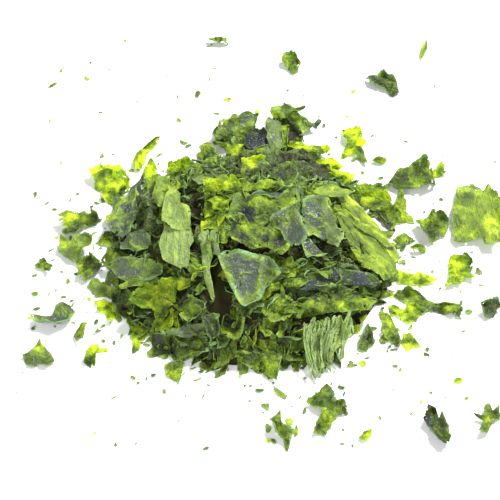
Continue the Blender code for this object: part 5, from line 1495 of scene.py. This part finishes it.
@dataclass
class Filling:
    """The small crumpled leaves between the large ones, spread evenly over the heap.

    count: how many. lift: lowest and highest over the heap's form. length: shortest and longest.
    kinds: the kinds of leaf, with the share of each. gaps: where none lies. covers: the large flakes,
    which nothing of the filling may poke through. lies: how it lies in some parts of the heap.
    tilt: how far a leaf leans from the heap's slope. sink: how much lower a leaf under a large flake
    lies. level: the share of its lean that such a leaf keeps.
    """

    name: str
    form: HeapForm
    count: int
    seed: int
    lift: tuple[float, float]
    length: tuple[float, float]
    kinds: tuple[tuple[Kind, float], ...]
    reach: float = 1.0
    gaps: tuple[Patch, ...] = ()
    covers: tuple[Flake, ...] = ()
    lies: tuple[Lie, ...] = ()
    tilt: float = 40.0
    sink: float = 2.2
    level: float = 0.3

    def covered(self, x: float, y: float, margin: float) -> bool:
        """Whether a large flake lies over a point in plan, or less than the margin beside it."""
        for flake in self.covers:
            away = Matrix.Rotation(-math.radians(flake.turn), 2) @ (Vector((x, y)) - Vector(flake.at))
            half = flake.size[0] * 0.45 + margin, flake.size[1] * 0.45 + margin
            if math.hypot(away.x / half[0], away.y / half[1]) < 1.0:
                return True
        return False

    @property
    def anywhere(self) -> Lie:
        """How the filling lies where no other lie holds: every way."""
        return Lie(Patch((0.0, 0.0), (0.0, 0.0)), 0.0, 180.0, (0.4, 0.85), self.kinds)

    def flake(self, index: int) -> Flake:
        """One leaf of the filling.

        Args:
            index: its place in the even spread.

        Returns:
            The leaf, the rest by its own draw.
        """
        draw = random.Random(self.seed + index)
        angle = index * GOLDEN_ANGLE
        share = math.sqrt((index + 0.5) / self.count) * self.reach
        length = draw.uniform(*self.length)
        at = self.form.spot(angle, share)
        lie = next((lie for lie in self.lies if lie.patch.holds(*at)), self.anywhere)
        kind = draw.choices([kind for kind, _ in lie.kinds], [share for _, share in lie.kinds])[0]
        folds = ((draw.uniform(0.1, 0.5), draw.uniform(0.0, 360.0), draw.uniform(25.0, 70.0), 1.2),
                 (draw.uniform(0.1, 0.5), draw.uniform(0.0, 360.0), draw.uniform(-70.0, -25.0), 1.2))
        lift = draw.uniform(*self.lift)
        tilt = (draw.uniform(-self.tilt, self.tilt) * 0.7, draw.uniform(-self.tilt, self.tilt))
        if self.covered(*at, length / 8.0):
            lift -= self.sink
            tilt = (tilt[0] * self.level, tilt[1] * self.level)
        return Flake(kind, at, (length, length * draw.uniform(*lie.slim)),
                     lie.turn + draw.uniform(-lie.spread, lie.spread), lift, tilt,
                     folds, wave=draw.uniform(0.5, 1.3), seed=self.seed + index)

    def build(self, finishes: Finishes) -> list[bpy.types.Object]:
        """Lay the leaves into one piece for each finish.

        Args:
            finishes: the leaf finishes.

        Returns:
            The finished pieces.
        """
        meshes: dict[Finish, LeafMesh] = {}
        for index in range(self.count):
            flake = self.flake(index)
            if any(gap.holds(*flake.at) for gap in self.gaps):
                continue
            finish = flake.kind.value.finish
            if finish not in meshes:
                meshes[finish] = LeafMesh(f"{self.name}_{finish.value}", self.form, cell=0.85)
            meshes[finish].lay(flake)
        return [mesh.finish(finishes[finish], finish, ["flake_heap"]) for finish, mesh in meshes.items()]


@dataclass
class Fibres:
    """The bundle of pale fibres that hangs down the front, drawn together at its foot.

    head, foot: the two ends of the upper row and of the lower row, as points in millimetres.
    """

    form: HeapForm
    head: tuple[tuple[float, float, float], ...] = ((15.0, -34.5, 9.5), (28.5, -31.5, 9.0))
    foot: tuple[tuple[float, float, float], ...] = ((18.0, -49.5, 0.8), (25.0, -43.0, 1.4))
    count: int = 22
    seed: int = 320

    def build(self, finishes: Finishes) -> bpy.types.Object:
        """Lay the fibres side by side and a little over each other.

        Args:
            finishes: the leaf finishes.

        Returns:
            The finished piece.
        """
        draw = random.Random(self.seed)
        sheets = LeafMesh("fibre_bundle", self.form, cell=0.4)
        for index in range(self.count):
            share = (index + draw.uniform(-0.4, 0.4)) / (self.count - 1)
            top = Vector(self.head[0]).lerp(Vector(self.head[1]), share)
            low = Vector(self.foot[0]).lerp(Vector(self.foot[1]), max(0.0, share) ** 1.8)
            top += Vector((0.0, draw.uniform(-1.0, 1.0), draw.uniform(-1.2, 1.0)))
            low = top.lerp(low, draw.uniform(0.8, 1.04))
            along = (low - top).normalized()
            across = UP.cross(along).normalized()
            frame_of = Matrix((along, across, along.cross(across))).transposed().to_4x4()
            roll = Matrix.Rotation(math.radians(draw.uniform(-45.0, 45.0)), 4, "X")
            kind = draw.choice((Kind.FIBRE, Kind.FIBRE, Kind.FIBRE, Kind.FIBRE, Kind.TONGUE, Kind.DARK))
            strip = Flake(kind, (0.0, 0.0), ((low - top).length, draw.uniform(0.8, 1.7)),
                          outline=Outline.STRIP,
                          folds=((0.1, 90.0, draw.uniform(20.0, 70.0), 0.3),), wave=2.0,
                          seed=self.seed + index, bow=draw.uniform(-0.4, 2.2))
            sheets.lay(strip, Matrix.Translation((top + low) / 2.0) @ frame_of @ roll)
        return sheets.finish(finishes[Finish.MIXED], Finish.MIXED, ["flake_heap"])


@dataclass
class Core:
    """The heap's core: a rough near-black dome that the leaves lie on, painted shade in the gaps between and
    under them.

    depth: how far it lies under the heap's form. edge: how far it reaches, as a share of the form's
    reach. thin: its height where there is no heap. open: where floor shows between the flakes.
    """

    form: HeapForm
    rings: int = 40
    spokes: int = 96
    depth: float = 2.6
    edge: float = 0.96
    thin: float = 0.3
    open: tuple[Patch, ...] = ()

    def build(self, finishes: Finishes) -> bpy.types.Object:
        """Build the dome.

        Args:
            finishes: the leaf finishes.

        Returns:
            The finished piece.
        """
        mesh = bmesh.new()
        tint = mesh.verts.layers.float_color.new("leaf")
        line = mesh.verts.layers.float_color.new("line")
        mesh.loops.layers.uv.new("length")
        bmesh.ops.create_uvsphere(mesh, u_segments=self.spokes, v_segments=2 * self.rings, radius=1.0,
                                  calc_uvs=True)
        for vert in mesh.verts:
            angle = math.atan2(vert.co.y, vert.co.x)
            share = math.hypot(vert.co.x, vert.co.y) * self.edge
            x, y = self.form.spot(angle, share)
            rough = noise.noise((x * 0.25, y * 0.25, 3.0)) * 1.6
            rough += noise.noise((x * 0.7, y * 0.7, 9.0)) * 0.7
            top = max(self.thin, self.form.height(x, y) - self.depth + rough)
            top = self.thin if any(gap.holds(x, y) for gap in self.open) else top
            vert.co = Vector((x, y, top if vert.co.z > 0.001 else 0.1)) * MM
            # A near-black tone: painted shade where the core shows between the leaves.
            vert[tint] = (0.04, 0.0, 0.0, 0.1)
            vert[line] = (0.0, 0.5, 0.0, 1.0)
        for face in mesh.faces:
            face.smooth = True
        data = bpy.data.meshes.new("heap_shade_core")
        mesh.to_mesh(data)
        mesh.free()
        data.materials.append(finishes.inside)
        piece = bpy.data.objects.new("heap_shade_core", data)
        bpy.context.scene.collection.objects.link(piece)
        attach(piece, BODY)
        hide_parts("flake_heap")
        LOG.info("%s: %d faces", piece.name, len(data.polygons))
        return piece


@dataclass
class Strays:
    """The loose flakes round the heap, each in its own node's place.

    Rows read off the photograph hold the height of the flake's middle over the floor. Every flake is laid
    out well clear of the floor, which is where its blots are placed too, and is then lowered onto it.
    """

    flakes: dict[str, Seen | Flake]
    form: HeapForm
    photo: PhotoView
    clear: float = 4.0

    def _raised(self, row: Seen | Flake) -> Flake:
        """A table's row as a flake that is held clear of the floor."""
        if isinstance(row, Flake):
            return replace(row, lift=self.clear)
        raised = replace(self.photo.shaped(row, self.form), lift=self.clear)
        return self.photo.marked(raised, row, self.form)

    def build(self, finishes: Finishes) -> list[bpy.types.Object]:
        """Build each flake, lowered until it rests on the floor.

        Args:
            finishes: the leaf finishes.

        Returns:
            The finished pieces.
        """
        pieces = []
        for name, row in self.flakes.items():
            flake = self._raised(row)
            sheet = LeafMesh(f"{name}_leaf", self.form, cell=0.5)
            made = sheet.lay(flake)
            lowest = min(vert.co.z for vert in made) - sheet.thick * MM
            bmesh.ops.translate(sheet.mesh, verts=made, vec=(0.0, 0.0, -lowest))
            finish = flake.kind.value.finish
            pieces.append(sheet.finish(finishes[finish], finish, [name]))
        return pieces


@dataclass
class Crumbs:
    """The smallest bits of leaf on the floor: the ones that can be told apart, and a seeded draw of more.

    box: the lowest and the highest corner in plan of the floor that they lie on. bits: the ones that
    can be told apart. near, far: how many are drawn close to the heap and how many anywhere in the box.
    """

    form: HeapForm
    photo: PhotoView
    box: tuple[tuple[float, float], tuple[float, float]] = ((-66.0, -71.0), (79.5, 96.0))
    bits: tuple[Bit, ...] = ()
    near: int = 260
    far: int = 110
    seed: int = 77
    bit_seed: int = 600

    @staticmethod
    def _dressing(kind: Kind) -> Finish:
        """The crumb's finish: the dark kinds take the mixed one."""
        return Finish.THIN if kind.value.finish is Finish.THIN else Finish.MIXED

    def _chip(self, draw: random.Random, at: tuple[float, float], kinds: list[Kind], size: float) -> Flake:
        """One crumb at a point in plan."""
        fold = (0.1, draw.uniform(0.0, 360.0), draw.uniform(20.0, 60.0), 0.5)
        return Flake(draw.choice(kinds), at, (size, size * draw.uniform(0.35, 0.9)),
                     draw.uniform(0.0, 360.0), 0.3, (draw.uniform(-15.0, 15.0), draw.uniform(-15.0, 15.0)),
                     (fold,), wave=0.1, seed=draw.randint(1, 90000), slope=0.0)

    def build(self, finishes: Finishes) -> list[bpy.types.Object]:
        """Strew the crumbs, more of them close to the heap.

        Args:
            finishes: the leaf finishes.

        Returns:
            The finished pieces.
        """
        draw = random.Random(self.seed)
        kinds = [Kind.LIME, Kind.OLIVE, Kind.SATIN, Kind.MIDDLE, Kind.MIDDLE, Kind.DARK]
        meshes = {finish: LeafMesh(f"crumbs_{finish.value}", self.form, cell=0.5, thick=0.14)
                  for finish in (Finish.THIN, Finish.MIXED)}
        for place, bit in enumerate(self.bits):
            fold = (0.2, draw.uniform(0.0, 360.0), draw.uniform(25.0, 60.0), 0.5)
            meshes[self._dressing(bit.kind)].lay(self.photo.bit(bit, fold, self.bit_seed + place))
        for index in range(self.near + self.far):
            if index < self.near:
                at = self.form.spot(draw.uniform(0.0, math.tau), 1.02 + draw.expovariate(5.0))
            else:
                at = tuple(draw.uniform(low, high) for low, high in zip(*self.box))
            inside = all(low < value < high for low, value, high in zip(self.box[0], at, self.box[1]))
            if inside and self.form.height(*at) <= 0.0:
                flake = self._chip(draw, at, kinds, 0.4 + draw.expovariate(1.8))
                meshes[self._dressing(flake.kind)].lay(flake)
        return [mesh.finish(finishes[finish], finish, []) for finish, mesh in meshes.items()]


@dataclass
class Studio:
    """The plain floor, the soft light and the camera, which stands where the photograph's did.

    key, fill: the two lights, as their place and their side in metres and their power in watts.
    floor_half: half the floor's side in metres. sky, sky_strength: the sky's colour and brightness.
    """

    photo: PhotoView
    key: tuple[tuple[float, float, float], float, float] = ((0.20, 0.18, 0.42), 0.12, 4.2)
    fill: tuple[tuple[float, float, float], float, float] = ((-0.16, -0.42, 0.40), 0.40, 2.1)
    floor_half: float = 3.0
    sky: tuple[float, float, float, float] = (0.96, 0.98, 1.0, 1.0)
    sky_strength: float = 0.42

    def floor(self) -> bpy.types.Object:
        """A plain white floor."""
        mesh = bmesh.new()
        bmesh.ops.create_grid(mesh, x_segments=1, y_segments=1, size=self.floor_half)
        data = bpy.data.meshes.new("floor")
        mesh.to_mesh(data)
        mesh.free()
        n = Nodes("floor_finish")
        place = n.add("ShaderNodeTexCoord").outputs["Object"]
        tone = n.mix(n.noise(place, 3.0), (0.93, 0.93, 0.93, 1.0), (0.96, 0.96, 0.96, 1.0))
        skin = n.add("ShaderNodeBsdfPrincipled", {"Base Color": tone, "Roughness": 0.9})
        n.add("ShaderNodeOutputMaterial", {"Surface": skin.outputs[0]})
        data.materials.append(n.material)
        floor = bpy.data.objects.new("floor", data)
        bpy.context.scene.collection.objects.link(floor)
        return floor

    def light(self, name: str, at: tuple[float, float, float], size: float,
              watts: float) -> bpy.types.Object:
        """A soft square light that faces the heap.

        Args:
            name: the light's name.
            at: its place in metres.
            size: its side in metres.
            watts: its power.

        Returns:
            The light.
        """
        data = bpy.data.lights.new(name, "AREA")
        data.size = size
        data.energy = watts
        lamp = bpy.data.objects.new(name, data)
        lamp.location = at
        lamp.rotation_euler = (-Vector(at)).to_track_quat("-Z", "Y").to_euler()
        bpy.context.scene.collection.objects.link(lamp)
        return lamp

    def camera(self) -> bpy.types.Object:
        """The camera, in front of the heap and above it."""
        data = bpy.data.cameras.new("camera")
        data.lens = self.photo.lens
        data.sensor_width = self.photo.sensor
        camera = bpy.data.objects.new("camera", data)
        camera.location = self.photo.eye * MM
        camera.rotation_euler = (math.radians(90.0 - self.photo.elevation), 0.0, 0.0)
        bpy.context.scene.collection.objects.link(camera)
        bpy.context.scene.camera = camera
        return camera

    def build(self) -> None:
        """Set the floor, the lights, the sky and the camera."""
        self.floor()
        self.light("key", *self.key)
        self.light("fill", *self.fill)
        world = bpy.data.worlds.new("sky")
        world.use_nodes = True
        sky = world.node_tree.nodes["Background"]
        sky.inputs["Color"].default_value = self.sky
        sky.inputs["Strength"].default_value = self.sky_strength
        bpy.context.scene.world = world
        bpy.context.scene.view_settings.view_transform = "Standard"
        self.camera()


TOP_KINDS = (
    (Kind.DARK, 0.26), (Kind.MIDDLE, 0.34), (Kind.OLIVE, 0.22), (Kind.YELLOW, 0.12), (Kind.TEAL, 0.06),
)
# The deep filling's kinds: near-black and dark leaves, painted shade under the top layer.
DEEP_KINDS = ((Kind.DEEP_SHADE, 0.55), (Kind.DARK, 0.45))
BESIDE_CUP = Patch((-8, -24), (4, 7))
BELOW_CUP = Patch((-7, -34), (5, 4))
# The deepest dark gaps, where even the deep filling is left out and the near-black core shows, as painted
# shade
VOIDS = (BESIDE_CUP, BELOW_CUP, Patch((4, -17.5), (10.5, 4)))
# Gaps between the large flakes, where the top filling is left out and the dark deep filling shows, as painted
# shade
GAPS = (
    Patch((4, -17), (12, 5)), BESIDE_CUP, BELOW_CUP,
    Patch((-29.5, -3), (4, 12)), Patch((-16.5, -5), (3, 13)),
)
# Floor that shows between the flakes at the front right
OPEN_FLOOR = (Patch((41, -32), (13, 9)), Patch((34, -41), (11, 10)))
# How the top filling lies in each part of the heap, the first that holds a leaf. In the gaps between the
# large flakes and in the back hollow, which lie in shade, most of its leaves are near-black or dark, as
# painted shade.
LIES = (
    Lie(Patch((-28.5, -3), (7, 15)), 80.0, 30.0, (0.25, 0.6),
        ((Kind.BLACK, 0.6), (Kind.DARK, 0.3), (Kind.TEAL, 0.1))),
    Lie(Patch((-16, -4), (5, 15)), 85.0, 20.0, (0.15, 0.45),
        ((Kind.BLACK, 0.6), (Kind.DARK, 0.3), (Kind.OLIVE, 0.1))),
    Lie(Patch((-11, -31), (8, 9)), 70.0, 60.0, (0.2, 0.5),
        ((Kind.BLACK, 0.5), (Kind.DARK, 0.3), (Kind.MIDDLE, 0.2))),
    Lie(Patch((8, 17), (22, 9)), 0.0, 18.0, (0.12, 0.4),
        ((Kind.BLACK, 0.72), (Kind.DARK, 0.16), (Kind.TEAL, 0.12))),
    Lie(Patch((24, -15), (9, 6)), 10.0, 30.0, (0.2, 0.5),
        ((Kind.BLACK, 0.4), (Kind.DARK, 0.4), (Kind.MIDDLE, 0.2))),
    Lie(Patch((28, -26), (20, 12)), 14.0, 22.0, (0.15, 0.45),
        ((Kind.MIDDLE, 0.45), (Kind.DARK, 0.2), (Kind.OLIVE, 0.25), (Kind.GREY, 0.1))),
    Lie(Patch((6, -40), (10, 12)), 86.0, 22.0, (0.3, 0.6),
        ((Kind.OLIVE, 0.5), (Kind.MIDDLE, 0.35), (Kind.DARK, 0.15))),
    Lie(Patch((-24, -28), (13, 8)), 60.0, 120.0, (0.3, 0.7),
        ((Kind.OLIVE, 0.4), (Kind.YELLOW, 0.25), (Kind.MIDDLE, 0.35))),
    Lie(Patch((-22, -40), (18, 9)), 60.0, 80.0, (0.5, 0.9),
        ((Kind.MIDDLE, 0.6), (Kind.DARK, 0.2), (Kind.OLIVE, 0.2))),
    Lie(Patch((-17, 3), (9, 20)), 85.0, 20.0, (0.15, 0.45),
        ((Kind.OLIVE, 0.35), (Kind.YELLOW, 0.2), (Kind.DARK, 0.25), (Kind.MIDDLE, 0.2))),
    Lie(Patch((-38, -4), (12, 20)), 75.0, 45.0, (0.3, 0.7),
        ((Kind.MIDDLE, 0.4), (Kind.OLIVE, 0.3), (Kind.TEAL, 0.15), (Kind.DARK, 0.15))),
    Lie(Patch((30, 10), (16, 14)), -40.0, 40.0, (0.25, 0.6),
        ((Kind.YELLOW, 0.3), (Kind.OLIVE, 0.3), (Kind.MIDDLE, 0.25), (Kind.DARK, 0.15))),
)


def main() -> None:
    """Build the heap, its strays and crumbs, and the studio round them."""
    logging.basicConfig(level=logging.INFO, format="%(name)s %(message)s")
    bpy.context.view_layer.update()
    form = HeapForm()
    photo = PhotoView()
    finishes = Finishes()
    Core(form, open=OPEN_FLOOR).build(finishes)
    tables = {"crown": {**CROWN, **BACK}, "left": LEFT_SIDE, "right": RIGHT_SIDE, "front": FRONT}
    sides = {side: {name: photo.flake(row, form) for name, row in rows.items()}
             for side, rows in tables.items()}
    large = tuple(flake for flakes in sides.values() for flake in flakes.values()
                  if min(flake.size) > LARGE_FLAKE)
    # The deep filling: near-black leaves under the top layer, painted shade where it shows between them.
    Filling("deep_shade_filling", form, 330, 7000, (-2.7, -1.5), (6.0, 11.0), DEEP_KINDS, 0.95,
            VOIDS + OPEN_FLOOR, tilt=16.0).build(finishes)
    Filling("top_filling", form, 760, 9000, (-1.3, 0.9), (4.0, 11.0), TOP_KINDS, 1.0,
            GAPS + OPEN_FLOOR, large, LIES).build(finishes)
    for name, flakes in sides.items():
        Region(name, flakes, form).build(finishes)
    Fibres(form).build(finishes)
    Strays(STRAYS, form, photo).build(finishes)
    Crumbs(form, photo, bits=BITS).build(finishes)
    Studio(photo).build()


if __name__ == "__main__":
    main()
